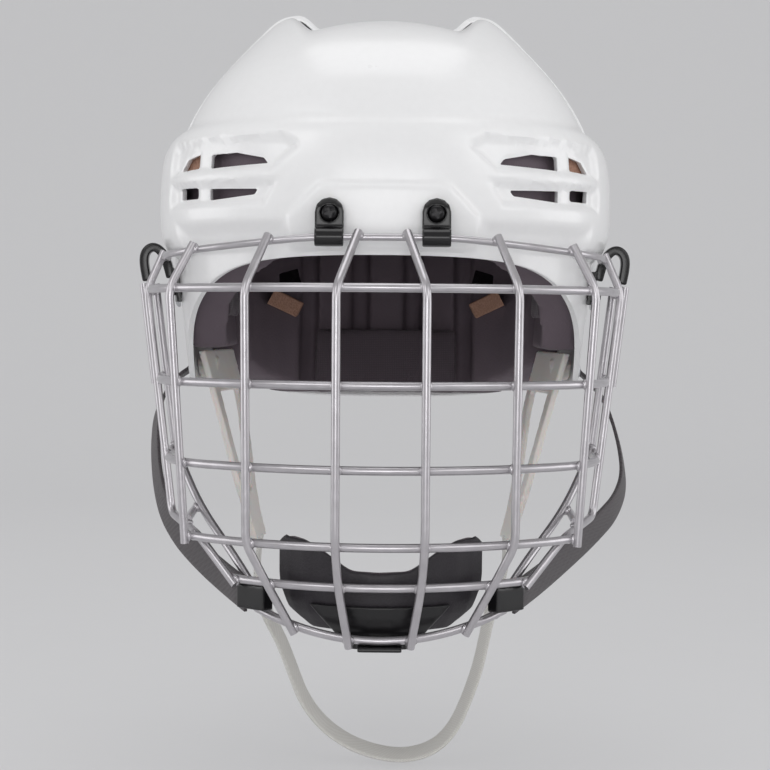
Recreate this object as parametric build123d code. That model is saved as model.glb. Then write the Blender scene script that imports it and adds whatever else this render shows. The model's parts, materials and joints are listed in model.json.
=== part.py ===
"""Ice hockey helmet with a wire face cage, in millimetres.

+X is the wearer's left, the face looks along -Y and +Z is up.
The origin is the middle of the wearer's head at the height of the eyes.
"""
import os
from math import atan2, cos, pi, radians, sin, sqrt, tan

from build123d import *

os.makedirs("parts", exist_ok=True)

# Shell
shell_half_width = 98.0
shell_front_reach = 96.0
shell_back_reach = 144.0
crown_height = 141.0
widest_back = -8.0
wall = 2.4
slide_gap = 0.4
skin_sides = 40

# Channel along the crown, between two ridges
channel_half_width = 34.0
channel_flank_run = 8.0
channel_depth = 7.6
channel_rise = 5.0
channel_sweep_radius = 230.0
channel_half_sweep = 40.0
channel_centre_back = -4.0
channel_step_angle = 8.0
channel_half_steps = 3

# Brow band that stands out over the forehead and temples
band_half_width = 103.0
band_front_reach = 97.0
band_base_height = 30.0
band_height = 58.0
band_wall = 4.4
band_end_back = -12.0
flute_depth = 2.0
band_power = 2.4

# Plaque in the middle of the brow
plaque_top_half_width = 27.0
plaque_foot_half_width = 39.6
plaque_top_height = 57.3
plaque_corner_height = 44.6
plaque_rise = 1.8

# Vents, drawn on an upright plane that faces the corner of the brow
vent_azimuth = 44.0
vent_row_height = 62.2
vent_unit = 26.0

# Edges of the two shells, seen from the side
brim_height = 28.5
front_shell_low = 29.0
front_shell_end_back = 38.0
rear_shell_start_back = -8.0
nape_drop = 38.0

# Size adjustment: screws in the front shell, slots in the rear shell
adjust_travel = 14.0
adjust_screw_back = 15.0
adjust_screw_heights = (46.0, 12.0)
screw_radius = 2.0
screw_clearance = 0.3
screw_head_radius = 5.0
screw_head_height = 2.2
nut_radius = 6.0
nut_height = 1.8
driver_slot_width = 1.4
driver_slot_depth = 1.0

# Foam liner and comfort pads
liner_thickness = 16.0
liner_gap = 0.3
liner_end_back = 28.0
rear_liner_start_back = 42.0
rear_liner_drop = 41.0
liner_slot_width = 9.0
liner_slot_depth = 7.0
liner_slot_places = (14.0, 41.0)
liner_slot_top_height = 70.0
pad_gap = 0.3
brow_pad_thickness = 4.0
brow_pad_low_height = 32.0
brow_pad_height = 26.0
brow_pad_end_back = -52.0
crown_pad_thickness = 5.0
crown_pad_half_width = 30.0
crown_pad_half_length = 40.0
temple_pad_thickness = 4.0
temple_pad_start_back = -28.0
temple_pad_length = 46.0
temple_pad_low_height = 2.0
temple_pad_height = 34.0
occipital_pad_half_width = 37.0
occipital_pad_low_height = -37.0
occipital_pad_height = 34.0
occipital_pad_thickness = 6.0
tab_width = 15.0
tab_height = 8.5
tab_thickness = 5.0
tab_offset = 52.0
tab_low_height = 6.0

# Wire cage
cage_top_height = 35.0
cage_drop = 165.0
cage_half_width = 102.3
cage_front_reach = 135.5
cage_wire = 3.6
top_wire = 3.0
top_wire_reach = 113.0
top_wire_half_width = 97.0
top_wire_straight = 28.0
top_wire_sag = 6.5
weld_sink = 0.5
wire_sides = 8
disc_sides = 12
bend_step = 12.0
wire_tip = 3.2
bottom_wire_half_width = 52.0
bottom_wire_rise = 10.0
bottom_wire_reach = 119.0

# Side rods and rear rods of the cage
edge_top_back = -47.0
edge_brow_back = -50.0
outer_rod_back = -35.0
inner_rod_back = -28.0
rear_rod_start_back = -34.0

# Forehead clips
clip_offset = 22.0
clip_width = 11.8
clip_top_height = 51.5
clip_plate_thickness = 3.0
clip_dome = 2.6
clip_eye_wall = 2.0
clip_eye_gap = 0.4
clip_seat_gap = 0.3
clip_screw_height = 45.0
clip_screw_radius = 1.8
clip_screw_head_radius = 3.4
clip_screw_length = 15.0

# Side clips
side_clip_back = -31.0
side_clip_bar = 4.0
side_clip_depth = 5.0
side_clip_plate_height = 15.0
side_clip_plate_depth = 9.0
side_clip_plate_thickness = 2.4
side_clip_plate_low = 9.0
side_clip_screw_height = 13.5
side_clip_low_height = 18.5
side_clip_loop_height = 15.5
side_clip_loop_width = 12.3
side_clip_screw_head_radius = 3.0
side_clip_screw_head = 1.4
side_clip_screw_radius = 1.5
side_clip_screw_length = 7.0

# Ear guards
guard_top_height = -14.0
guard_front_back = -14.0
guard_offset = 87.0
guard_depth = 54.0
guard_drop = 92.0
guard_thickness = 3.0
guard_lean = 16.0
guard_turn = -9.0
guard_screw_along = 18.0
guard_screw_down = 8.0
guard_boss_radius = 5.0
guard_screw_head_radius = 4.0
guard_screw_head = 1.8
guard_screw_radius = 1.8

# Chin cup
cup_radius = 47.5
cup_centre_back = -75.0
cup_top_height = -89.0
cup_height = 38.0
cup_wall = 2.5
cup_foam = 6.0
cup_half_width = 43.0
cup_half_angle = 66.0
cup_step_angle = 12.0

# Black band that holds the chin cup on the bottom wire
chin_band_half_angle = 42.0
chin_band_half_width = 29.5
chin_band_top_height = -115.4
chin_band_low_height = -134.1
chin_band_thickness = 2.0
chin_band_gap = 0.3
chin_band_lip = 5.6
chin_band_lip_half_width = 9.0

# Side straps, their pads and snaps
side_strap_width = 15.0
side_strap_thickness = 1.6
strap_pad_width = 15.6
strap_pad_height = 10.4
strap_pad_thickness = 6.0
strap_pad_place = 49.0
strap_pad_height_place = -114.2
strap_pad_grip = 2.5
snap_back = 20.0
snap_height_place = -18.0
snap_radius = 5.0
snap_cap_radius = 6.0
snap_stud_height = 1.6
snap_cap_height = 2.4
snap_gap = 0.3
snap_sink = 0.3
side_strap_half_width = 115.0
side_strap_run_back = 96.0
side_strap_drop = 92.0
side_strap_tail = 4.0

# Chin strap that hangs from the feet of the ear guards, as across and height
strap_width = 12.0
strap_thickness = 1.6
strap_back = -1.2
strap_route = (
    (-57.9, -100.5),
    (-60.2, -113.0),
    (-59.5, -125.5),
    (-55.5, -139.0),
    (-48.2, -152.0),
    (-42.5, -167.0),
    (-37.5, -180.0),
    (-29.0, -191.5),
    (-17.0, -200.5),
    (-3.0, -205.8),
    (12.0, -207.5),
    (26.0, -203.0),
    (35.0, -193.0),
    (41.0, -179.0),
    (45.8, -165.0),
    (49.0, -150.0),
    (52.0, -135.0),
    (56.5, -122.0),
    (59.2, -112.5),
    (57.9, -100.5),
)
straight_corner_share = 0.45

# Common
overrun = 60.0
sides = (1, -1)


def facet_solid(rings):
    """A closed solid through rings of points, whose walls are flat facets."""
    faces = [Face(Wire.make_polygon(rings[0], close=True))]
    faces.append(Face(Wire.make_polygon(rings[-1], close=True)))
    for low, high in zip(rings, rings[1:]):
        for here in range(len(low)):
            there = (here + 1) % len(low)
            corners = [low[here], low[there], high[there], high[here]]
            faces.append(Face(Wire.make_polygon(corners, close=True)))
    return Solid(Shell(faces))


def support(half_width, front, back, power, angle):
    """Distance from the axis to the outline's tangent line that faces the angle."""
    dual = power / (power - 1)
    reach = back if sin(angle) > 0 else front
    across = (half_width * abs(cos(angle))) ** dual
    along = (reach * abs(sin(angle))) ** dual
    return (across + along) ** (1 / dual)


def oval_ring(half_width, front, back, power, shrink, height):
    """Level ring of a full oval. Its edges keep the same directions at each level,
    so that the walls between two rings are flat."""
    points = []
    turn = 2 * pi / skin_sides
    for side in range(skin_sides):
        first = turn * (side + 0.5)
        second = first + turn
        near = support(half_width, front, back, power, first) - shrink
        far = support(half_width, front, back, power, second) - shrink
        x = (near * sin(second) - far * sin(first)) / sin(turn)
        y = (far * cos(first) - near * cos(second)) / sin(turn)
        points.append((x, y + widest_back, height))
    return points


# Shares of crown height, half width, front reach and back reach, then the power of
# the outline
dome_level_shares = (
    (-0.34, 0.90, 0.92, 0.83, 2.2),
    (0.0, 0.955, 0.97, 0.935, 2.2),
    (0.30, 0.995, 1.0, 0.99, 2.2),
    (0.45, 0.99, 0.995, 1.0, 2.25),
    (0.56, 0.965, 0.975, 0.985, 2.3),
    (0.645, 0.915, 0.945, 0.95, 2.35),
    (0.73, 0.845, 0.89, 0.885, 2.4),
    (0.80, 0.765, 0.81, 0.80, 2.45),
    (0.86, 0.685, 0.71, 0.71, 2.5),
    (0.91, 0.615, 0.60, 0.60, 2.6),
    (0.955, 0.55, 0.465, 0.475, 2.8),
    (0.985, 0.505, 0.33, 0.35, 3.0),
    (1.0, 0.44, 0.22, 0.24, 3.2),
)

# Shares of the band's own height, half width and front reach, then its lean
band_level_shares = (
    (0.0, 0.962, 0.965, 0.0),
    (0.10, 1.0, 0.99, 0.0),
    (0.28, 1.01, 1.0, 0.0),
    (0.52, 1.008, 1.0, 0.0),
    (0.72, 1.0, 0.995, 0.1),
    (0.86, 0.975, 0.985, 0.4),
    (1.0, 0.89, 0.945, 0.7),
)


def skin_moves(profile):
    """How far each ring moves in and down for an inset of one, so that the walls
    below and above it move inwards by the inset."""
    walls = [Vector(0, 1)]
    for low, high in zip(profile, profile[1:]):
        walls.append(Vector(high[0] - low[0], high[1] - low[1]).normalized())
    walls.append(Vector(-1, 0))
    moves = []
    for below, above in zip(walls, walls[1:]):
        stretch = 1 / (1 + below.dot(above))
        moves.append((stretch * (below.Y + above.Y), -stretch * (below.X + above.X)))
    return moves


def dome(inset):
    """The skin of the shell moved inwards by the inset, as a solid."""
    profile = []
    for height, width, front, back, power in dome_level_shares:
        reach = (shell_front_reach * front + shell_back_reach * back) / 2
        profile.append(((shell_half_width * width + reach) / 2, crown_height * height))
    rings = []
    for (height, width, front, back, power), (shrink, drop) in zip(
        dome_level_shares, skin_moves(profile)
    ):
        rings.append(oval_ring(
            shell_half_width * width,
            shell_front_reach * front,
            shell_back_reach * back,
            power,
            inset * shrink,
            crown_height * height - inset * drop,
        ))
    return facet_solid(rings)


def band(inset):
    """The brow band moved inwards by the inset. It ends behind the temples."""
    rings = []
    for height, width, front, lean in band_level_shares:
        rings.append(oval_ring(
            band_half_width * width,
            band_front_reach * front,
            band_front_reach * front,
            band_power,
            inset * sqrt(1 - lean**2),
            band_base_height + band_height * height - inset * lean,
        ))
    front_half = Pos(0, band_end_back - inset, 0) * Box(
        2 * overrun + 2 * band_half_width,
        2 * overrun + 2 * band_front_reach,
        2 * crown_height,
        align=(Align.CENTER, Align.MAX, Align.CENTER),
    )
    return facet_solid(rings) & front_half


def channel(inset):
    """What is cut away between the crown ridges, grown into the shell by the inset."""
    floor_radius = channel_sweep_radius - inset
    half = channel_half_width + inset * channel_flank_run / channel_depth
    centre_height = crown_height - channel_depth - channel_sweep_radius
    profile = []
    for step in range(-channel_half_steps, channel_half_steps + 1):
        share = step / channel_half_steps
        profile.append((half * share, floor_radius + channel_rise * (1 - share**2)))
    lift = overrun / 2
    run = lift * channel_flank_run / channel_depth
    profile.append((half + run, floor_radius + lift))
    profile.append((-half - run, floor_radius + lift))
    rings = []
    turn = -channel_half_sweep
    while turn <= channel_half_sweep:
        ring = []
        for x, radius in profile:
            ring.append((
                x,
                channel_centre_back + radius * sin(radians(turn)),
                centre_height + radius * cos(radians(turn)),
            ))
        rings.append(ring)
        turn += channel_step_angle
    return facet_solid(rings)


def prism_along_x(outline):
    """An outline of back and height values, made a block across the whole helmet."""
    reach = 2 * (band_half_width + overrun)
    face = Plane.YZ * make_face(Polyline(*outline, close=True))
    return extrude(face, amount=reach / 2, both=True)


# Edge of the face opening, in shares of the front reach and the brim height
face_edge_shares = (
    (-1.10, 1.0),
    (-1.0, 0.96),
    (-0.88, 0.85),
    (-0.76, 0.66),
    (-0.58, 0.28),
    (-0.42, -0.18),
    (-0.33, -0.60),
    (-0.29, -1.02),
)
front_outline = [
    (shell_front_reach * back, brim_height * height) for back, height in face_edge_shares
]
front_outline.append((front_shell_end_back, -front_shell_low))
front_outline.append((front_shell_end_back, crown_height + overrun))
front_outline.append((-shell_front_reach - overrun, crown_height + overrun))
front_outline.append((-shell_front_reach - overrun, brim_height))
front_region = prism_along_x(front_outline)

# Lower edge of the rear shell, in shares of the back reach and the nape drop
rear_edge_shares = (
    (0.02, 0.15),
    (0.10, -0.20),
    (0.24, -0.40),
    (0.40, -0.66),
    (0.62, -0.90),
    (1.0, -1.0),
)
rear_outline = [
    (shell_back_reach * back, nape_drop * height) for back, height in rear_edge_shares
]
rear_outline.append((shell_back_reach + overrun, -nape_drop))
rear_outline.append((shell_back_reach + overrun, crown_height + overrun))
rear_outline.append((rear_shell_start_back, crown_height + overrun))
rear_outline.append((rear_shell_start_back, nape_drop))
rear_region = prism_along_x(rear_outline)


# Lower edge of the front liner, in shares of the front reach and the brim height
liner_edge_shares = (
    (-1.10, 1.12),
    (-0.95, 1.10),
    (-0.80, 0.98),
    (-0.68, 0.70),
    (-0.50, 0.30),
    (-0.36, -0.20),
    (-0.29, -0.42),
)
front_liner_outline = [
    (shell_front_reach * back, brim_height * height) for back, height in liner_edge_shares
]
front_liner_outline.append((liner_end_back, front_liner_outline[-1][1]))
front_liner_outline.append((liner_end_back, crown_height + overrun))
front_liner_outline.append((-shell_front_reach - overrun, crown_height + overrun))
front_liner_outline.append((-shell_front_reach - overrun, front_liner_outline[0][1]))

# Lower edge of the rear liner, in shares of the back reach and the liner's drop
rear_liner_corner_share = 0.75
rear_liner_edge_shares = ((0.40, -0.66), (0.62, -0.90), (0.80, -1.0))
rear_liner_outline = [
    (shell_back_reach * back, rear_liner_drop * height)
    for back, height in rear_liner_edge_shares
]
rear_liner_outline.insert(
    0, (rear_liner_start_back, rear_liner_outline[0][1] * rear_liner_corner_share)
)
rear_liner_outline.append((shell_back_reach + overrun, -rear_liner_drop))
rear_liner_outline.append((shell_back_reach + overrun, crown_height + overrun))
rear_liner_outline.append((rear_liner_start_back, crown_height + overrun))


def skin_half_width(back, height, inset=0.0):
    """Half width of the shell's skin at a place, seen along the wearer's sides."""
    rows = dome_level_shares
    for low, high in zip(rows, rows[1:]):
        if low[0] <= height / crown_height <= high[0]:
            share = (height / crown_height - low[0]) / (high[0] - low[0])
            width, front, rear, power = (
                low[i] + share * (high[i] - low[i]) for i in (1, 2, 3, 4)
            )
            reach = shell_back_reach * rear if back > widest_back else shell_front_reach * front
            along = abs(back - widest_back) / reach
            return shell_half_width * width * (1 - along**power) ** (1 / power) - inset
    raise ValueError("the height lies outside the shell")


def brow_plane():
    """Upright plane through the widest place that faces the corner of the brow."""
    turn = radians(vent_azimuth)
    outward = (sin(turn), -cos(turn), 0)
    along = (cos(turn), sin(turn), 0)
    return Plane(origin=(0, widest_back, vent_row_height), x_dir=along, z_dir=outward)


def on_side(solid, side):
    """The solid as it is for the wearer's left, mirrored for the right."""
    return solid if side > 0 else mirror(solid, about=Plane.YZ)


# Outlines of vents and flutes in shares of the vent unit, along the brow and up
long_upper_vent_shares = ((-0.98, 0.17), (-0.90, 0.26), (-0.4, 0.36), (0.14, 0.35), (0.14, 0.12))
long_lower_vent_shares = ((-0.82, -0.24), (-0.76, -0.33), (-0.3, -0.37), (0.14, -0.40), (0.14, -0.21))
short_upper_vent_shares = ((0.45, 0.14), (0.45, 0.37), (0.80, 0.31), (0.97, 0.16), (0.97, 0.12))
short_lower_vent_shares = ((0.45, -0.36), (0.45, -0.18), (0.97, -0.17), (0.97, -0.36))
upper_flute_shares = ((-1.5, 0.45), (-1.25, 0.62), (1.25, 0.56), (1.25, 0.06), (-1.1, 0.06))
lower_flute_shares = ((-1.2, -0.12), (1.25, -0.12), (1.25, -0.48), (-1.0, -0.48))
vent_outlines = (
    long_upper_vent_shares,
    long_lower_vent_shares,
    short_upper_vent_shares,
    short_lower_vent_shares,
)


def brow_cut(outline, side):
    """A vent or flute outline, run through the corner of the brow."""
    points = [(vent_unit * along, vent_unit * up) for along, up in outline]
    face = brow_plane() * make_face(Polyline(*points, close=True))
    return on_side(extrude(face, amount=band_half_width + overrun), side)


def front_shell_solid():
    foot = (plaque_foot_half_width, brim_height - overrun)
    corner = (plaque_foot_half_width, plaque_corner_height)
    top = (plaque_top_half_width, plaque_top_height)
    outline = [foot, corner, top]
    outline += [(-x, z) for x, z in reversed(outline)]
    face = Plane.XZ * make_face(Polyline(*outline, close=True))
    plaque = extrude(face, amount=band_front_reach + overrun) & band(-plaque_rise)
    ribbed = band(0)
    floor = band(flute_depth)
    for side in sides:
        for shares in (upper_flute_shares, lower_flute_shares):
            ribbed -= brow_cut(shares, side) - floor
    outer = dome(0) + ribbed + plaque
    inner = (dome(wall) - channel(wall)) + band(band_wall)
    shell = ((outer - channel(0)) - inner) & front_region
    for side in sides:
        for shares in vent_outlines:
            shell -= brow_cut(shares, side)
    return shell


def mitred(points, ring):
    """A ring of points carried along a route and mitred at each bend."""
    rings = [ring]
    for here in range(1, len(points)):
        place = Vector(*points[here])
        run = (place - Vector(*points[here - 1])).normalized()
        onward = run
        if here + 1 < len(points):
            onward = (Vector(*points[here + 1]) - place).normalized()
        mitre = (run + onward).normalized()
        moved = []
        for corner in rings[-1]:
            travel = (place - corner).dot(mitre) / run.dot(mitre)
            moved.append(corner + run * travel)
        rings.append(moved)
    return facet_solid(rings)


def rod(points, radius):
    """A wire with flat sides along the points."""
    run = Vector(*points[1]) - Vector(*points[0])
    plane = Plane(origin=points[0], z_dir=run)
    ring = []
    for side in range(wire_sides):
        turn = 2 * pi * (side + 0.5) / wire_sides
        ring.append(plane.from_local_coords((radius * cos(turn), radius * sin(turn), 0)))
    return mitred(points, ring)


def ribbon(points, width, thickness, facing):
    """A flat strap along the points, with its broad side turned to one direction."""
    run = Vector(*points[1]) - Vector(*points[0])
    across = run.cross(Vector(*facing)).normalized()
    face = across.cross(run).normalized()
    ring = []
    for wide, thick in ((1, 1), (-1, 1), (-1, -1), (1, -1)):
        corner = Vector(*points[0]) + across * (wide * width / 2)
        ring.append(corner + face * (thick * thickness / 2))
    return mitred(points, ring)


def arc_points(centre, radius, start, end):
    """Points of an arc in plan, from one heading to another, in even steps."""
    count = max(1, round(abs(end - start) / radians(bend_step)))
    points = []
    for step in range(count + 1):
        turn = start + (end - start) * step / count
        points.append((centre[0] + radius * sin(turn), centre[1] - radius * cos(turn)))
    return points


def brow_curve(half_width, reach, straight, end_back, front_round, corner_round):
    """Right half of a face wire in plan: a front arc, a corner arc and a side run."""
    front_centre = (straight, front_round - reach)
    corner_x = half_width - corner_round
    span = front_round - corner_round
    drop = sqrt(span**2 - (corner_x - straight) ** 2)
    corner_centre = (corner_x, front_centre[1] - drop)
    heading = atan2(corner_x - straight, drop)
    points = arc_points(front_centre, front_round, 0, heading)
    if straight:
        points.insert(0, (0, -reach))
    points += arc_points(corner_centre, corner_round, heading, pi / 2)[1:]
    if end_back > corner_centre[1]:
        points.append((half_width, end_back))
    return points


def cut_curve(points, end_x):
    """The plan curve up to the given width."""
    kept = [points[0]]
    for here, there in zip(points, points[1:]):
        if there[0] >= end_x:
            share = (end_x - here[0]) / (there[0] - here[0])
            kept.append((end_x, here[1] + share * (there[1] - here[1])))
            return kept
        kept.append(there)
    return kept


def both_halves(curve):
    """The right half of a plan curve and its mirror image as one run of points."""
    left = [(-x, y) for x, y in reversed(curve)]
    return left + curve[1:]


def place_on(curve, x, outward):
    """The point beside the plan curve at the width x, outward of it."""
    for here, there in zip(curve, curve[1:]):
        if here[0] <= x <= there[0] and there[0] > here[0]:
            share = (x - here[0]) / (there[0] - here[0])
            along = Vector(there[0] - here[0], there[1] - here[1]).normalized()
            y = here[1] + share * (there[1] - here[1])
            return (x + outward * along.Y, y - outward * along.X)
    raise ValueError("the width lies past the wire's end")


# Cross wires from the second down: name, then shares of the cage's drop, half width
# and front reach, and where each ends as a share of the half width
cross_wire_shares = (
    ("cage_wire_brow", 0.127, 1.0, 1.0, 1.0),
    ("cage_wire_eyes", 0.364, 0.956, 0.990, 1.0),
    ("cage_wire_nose", 0.570, 0.917, 0.982, 1.0),
    ("cage_wire_mouth", 0.758, 0.882, 0.974, 0.80),
    ("cage_wire_chin", 0.861, 0.705, 0.937, 0.61),
)
side_run_back_share = 0.24
side_flare_start_share = 0.50
side_flare_share = 0.06
front_round_share = 1.2
corner_round_share = 0.6

cross_curves = {}
cross_heights = {}
for name, drop, width, reach, end in cross_wire_shares:
    half = cage_half_width * width
    curve = brow_curve(
        half,
        cage_front_reach * reach,
        0,
        -cage_half_width * side_run_back_share,
        half * front_round_share,
        half * corner_round_share,
    )
    if end < 1:
        curve = cut_curve(curve, cage_half_width * end)
    else:
        curve.insert(-1, (half, -cage_half_width * side_flare_start_share))
        curve[-1] = (half * (1 + side_flare_share), curve[-1][1])
    cross_curves[name] = curve
    cross_heights[name] = cage_top_height - cage_drop * drop

# Plan shapes of the top and bottom wires in shares of the half width: where the side
# ends behind the face, the front's radius and the corner's radius
top_end_share, top_front_share, top_corner_share = (0.44, 0.82, 0.52)
low_side_share, low_front_share, low_corner_share = (0.72, 0.74, 0.45)
top_curve = brow_curve(
    top_wire_half_width,
    top_wire_reach,
    top_wire_straight,
    -cage_half_width * top_end_share,
    top_wire_half_width * top_front_share,
    top_wire_half_width * top_corner_share,
)
bottom_curve = cut_curve(
    brow_curve(
        cage_half_width * low_side_share,
        bottom_wire_reach,
        0,
        -cage_half_width,
        cage_half_width * low_front_share,
        cage_half_width * low_corner_share,
    ),
    bottom_wire_half_width,
)


def top_wire_height(x):
    past = max(0.0, abs(x) - top_wire_straight)
    return cage_top_height - top_wire_sag * past / (top_wire_half_width - top_wire_straight)


def bottom_wire_height(x):
    return cage_top_height - cage_drop + bottom_wire_rise * (x / bottom_wire_half_width) ** 2


pieces = {}


def disc(place, radius, length, along):
    """A round disc that starts at the place and runs in the given direction."""
    plane = Plane(origin=place, z_dir=along)
    return extrude(plane * RegularPolygon(radius, disc_sides), amount=length)


def slotted_screw(seat, along, head_radius, head_height, shank_radius, shank_length):
    """A screw whose head stands on the seat and whose shank runs back from it."""
    back = tuple(-value for value in along)
    head = disc(seat, head_radius, head_height, along)
    shank = disc(seat, shank_radius, shank_length, back)
    top = Vector(*seat) + Vector(*along) * (head_height - driver_slot_depth)
    plane = Plane(origin=top, z_dir=along)
    slot = plane * Rectangle(2 * head_radius, driver_slot_width)
    return head + shank - extrude(slot, amount=2 * driver_slot_depth)


# Shells
front_shell = front_shell_solid()
outside = slide_gap + wall
rear_outer = dome(-outside) - channel(-outside)
rear_inner = dome(-slide_gap) - channel(-slide_gap)
rear_shell = (rear_outer - rear_inner) & rear_region

# Liners
inner_skin = dome(wall + liner_thickness)
liner_skin = dome(wall + liner_gap) - channel(wall + liner_gap)
front_liner = (liner_skin - inner_skin) & prism_along_x(front_liner_outline)
rear_liner_skin = dome(liner_gap - slide_gap) - channel(liner_gap - slide_gap)
rear_liner = (rear_liner_skin - inner_skin) & prism_along_x(rear_liner_outline)
slot_reach = dome(wall + liner_thickness - liner_slot_depth)
for place in liner_slot_places:
    for side in sides:
        slot = Pos(side * place, rear_liner_start_back, liner_slot_top_height) * Box(
            liner_slot_width,
            shell_back_reach,
            liner_slot_top_height + rear_liner_drop + overrun,
            align=(Align.CENTER, Align.MIN, Align.MAX),
        )
        rear_liner -= slot & slot_reach


def comfort_pad(thickness, low, high):
    """Soft foam on the liner's inner face, between two opposite corners."""
    size = [b - a for a, b in zip(low, high)]
    space = Pos(*low) * Box(*size, align=(Align.MIN, Align.MIN, Align.MIN))
    skin = dome(wall + liner_thickness + pad_gap) & space
    return skin - dome(wall + liner_thickness + pad_gap + thickness)


brow_pad = comfort_pad(
    brow_pad_thickness,
    (-shell_half_width, -shell_front_reach - overrun, brow_pad_low_height),
    (shell_half_width, brow_pad_end_back, brow_pad_low_height + brow_pad_height),
)
crown_pad = comfort_pad(
    crown_pad_thickness,
    (-crown_pad_half_width, -crown_pad_half_length, crown_height / 2),
    (crown_pad_half_width, liner_end_back, crown_height),
)
occipital_pad = comfort_pad(
    occipital_pad_thickness,
    (-occipital_pad_half_width, rear_liner_start_back, occipital_pad_low_height),
    (
        occipital_pad_half_width,
        shell_back_reach,
        occipital_pad_low_height + occipital_pad_height,
    ),
)
temple_pad = comfort_pad(
    temple_pad_thickness,
    (0, temple_pad_start_back, temple_pad_low_height),
    (
        shell_half_width,
        temple_pad_start_back + temple_pad_length,
        temple_pad_low_height + temple_pad_height,
    ),
)
liner_tab = comfort_pad(
    tab_thickness,
    (tab_offset - tab_width / 2, rear_liner_start_back, tab_low_height),
    (tab_offset + tab_width / 2, shell_back_reach, tab_low_height + tab_height),
)

# Size adjustment screws and their nuts
screws = []
nuts = []
# How far the flat sided skin stands out past its oval at the widest place
corner_excess = support(
    shell_half_width, shell_front_reach, shell_back_reach, dome_level_shares[2][-1], pi / skin_sides
) / cos(pi / skin_sides) - shell_half_width
for height in adjust_screw_heights:
    # The head clears the widest place that slides under it
    head_edge = height + screw_head_radius
    widest_under_head = adjust_screw_back - adjust_travel - screw_head_radius
    seat_x = skin_half_width(widest_under_head, head_edge, -outside) + corner_excess + slide_gap
    nut_edge = height - nut_radius
    nut_x = skin_half_width(adjust_screw_back + nut_radius, nut_edge, wall)
    nut_x = min(nut_x, skin_half_width(adjust_screw_back, height, wall)) - slide_gap
    screw = slotted_screw(
        (seat_x, adjust_screw_back, height),
        (1, 0, 0),
        screw_head_radius,
        screw_head_height,
        screw_radius,
        seat_x - nut_x + nut_height,
    )
    nut = disc((nut_x - nut_height, adjust_screw_back, height), nut_radius, nut_height, (1, 0, 0))
    bore = disc((0, adjust_screw_back, height), screw_radius, shell_half_width, (1, 0, 0))
    pocket = disc(
        (nut_x - nut_height - screw_clearance, adjust_screw_back, height),
        nut_radius + screw_clearance,
        overrun,
        (1, 0, 0),
    )
    hole = disc(
        (nut_x, adjust_screw_back, height), screw_radius + screw_clearance, overrun, (1, 0, 0)
    )
    slot_low = height - screw_radius - screw_clearance
    slot = Pos(nut_x, adjust_screw_back - adjust_travel, slot_low) * Box(
        overrun,
        adjust_travel,
        2 * (screw_radius + screw_clearance),
        align=(Align.MIN, Align.MIN, Align.MIN),
    )
    for side in sides:
        screws.append(on_side(screw, side))
        nuts.append(on_side(nut - bore, side))
        front_shell -= on_side(hole, side)
        front_liner -= on_side(pocket, side)
        rear_shell -= on_side(slot + hole, side)
        rear_shell -= on_side(Pos(0, -adjust_travel, 0) * hole, side)

# Forehead clips: a plate on the plaque and an eye round the top wire
clip_inner_edge = clip_offset - clip_width / 2
plaque_front = widest_back - (band_front_reach + plaque_rise) * (
    1 - (clip_inner_edge / band_half_width) ** band_power
) ** (1 / band_power)
plate_back = plaque_front - clip_seat_gap
hinge_back = -top_wire_reach
eye_radius = top_wire / 2 + clip_eye_gap
eye_outer = eye_radius + clip_eye_wall


# Where the clip's front meets its eye, in shares of the eye's outer radius
nose_share, brow_share = (0.6, 0.8)


def forehead_clip():
    plate_face = plate_back - clip_plate_thickness
    outline = (
        (plate_back, clip_top_height),
        (plate_face, clip_top_height),
        (plate_face - clip_dome, clip_screw_height + clip_dome),
        (plate_face - clip_dome, cage_top_height + eye_outer / 2),
        (hinge_back - eye_outer * nose_share, cage_top_height + eye_outer * brow_share),
        (hinge_back, cage_top_height),
        (plate_back, cage_top_height + clip_seat_gap),
    )
    face = Plane.YZ * make_face(Polyline(*outline, close=True))
    body = extrude(face, amount=clip_width / 2, both=True)
    across = (1, 0, 0)
    start = (-clip_width / 2, hinge_back, cage_top_height)
    body += disc(start, eye_outer, clip_width, across)
    arch_centre = clip_top_height - clip_width / 2
    arch = Plane.XZ * Pos(0, arch_centre) * RegularPolygon(clip_width / 2, disc_sides)
    arch += Plane.XZ * Pos(0, arch_centre) * Rectangle(
        clip_width, clip_top_height, align=(Align.CENTER, Align.MAX)
    )
    body &= extrude(arch, amount=overrun + top_wire_reach)
    far = (-clip_width, hinge_back, cage_top_height)
    body -= disc(far, eye_radius, 2 * clip_width, across)
    seat = (0, plate_face - clip_dome / 2, clip_screw_height)
    body -= disc(seat, clip_screw_head_radius + clip_seat_gap, overrun, (0, -1, 0))
    body -= disc(seat, clip_screw_radius + clip_seat_gap, overrun, (0, 1, 0))
    return Pos(clip_offset, 0, 0) * body


clip_seat = (clip_offset, plate_back - clip_plate_thickness - clip_dome / 2, clip_screw_height)
clip_screw = slotted_screw(
    clip_seat, (0, -1, 0), clip_screw_head_radius, clip_dome, clip_screw_radius, clip_screw_length
)
clip_nut_front = clip_seat[1] + clip_screw_length - nut_height
clip_nut = disc((clip_offset, clip_nut_front, clip_screw_height), nut_radius, nut_height, (0, 1, 0))
clip_nut -= disc(clip_seat, clip_screw_radius, overrun, (0, 1, 0))
for side in sides:
    hole = disc(clip_seat, clip_screw_radius + clip_seat_gap, overrun, (0, 1, 0))
    front_shell -= on_side(hole, side)
    pocket_start = (clip_offset, plate_back, clip_screw_height)
    pocket_end = clip_nut_front + nut_height + screw_clearance
    pocket = disc(pocket_start, nut_radius + screw_clearance, pocket_end - plate_back, (0, 1, 0))
    front_liner -= on_side(pocket, side)
    screws.append(on_side(clip_screw, side))
    nuts.append(on_side(clip_nut, side))

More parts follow.
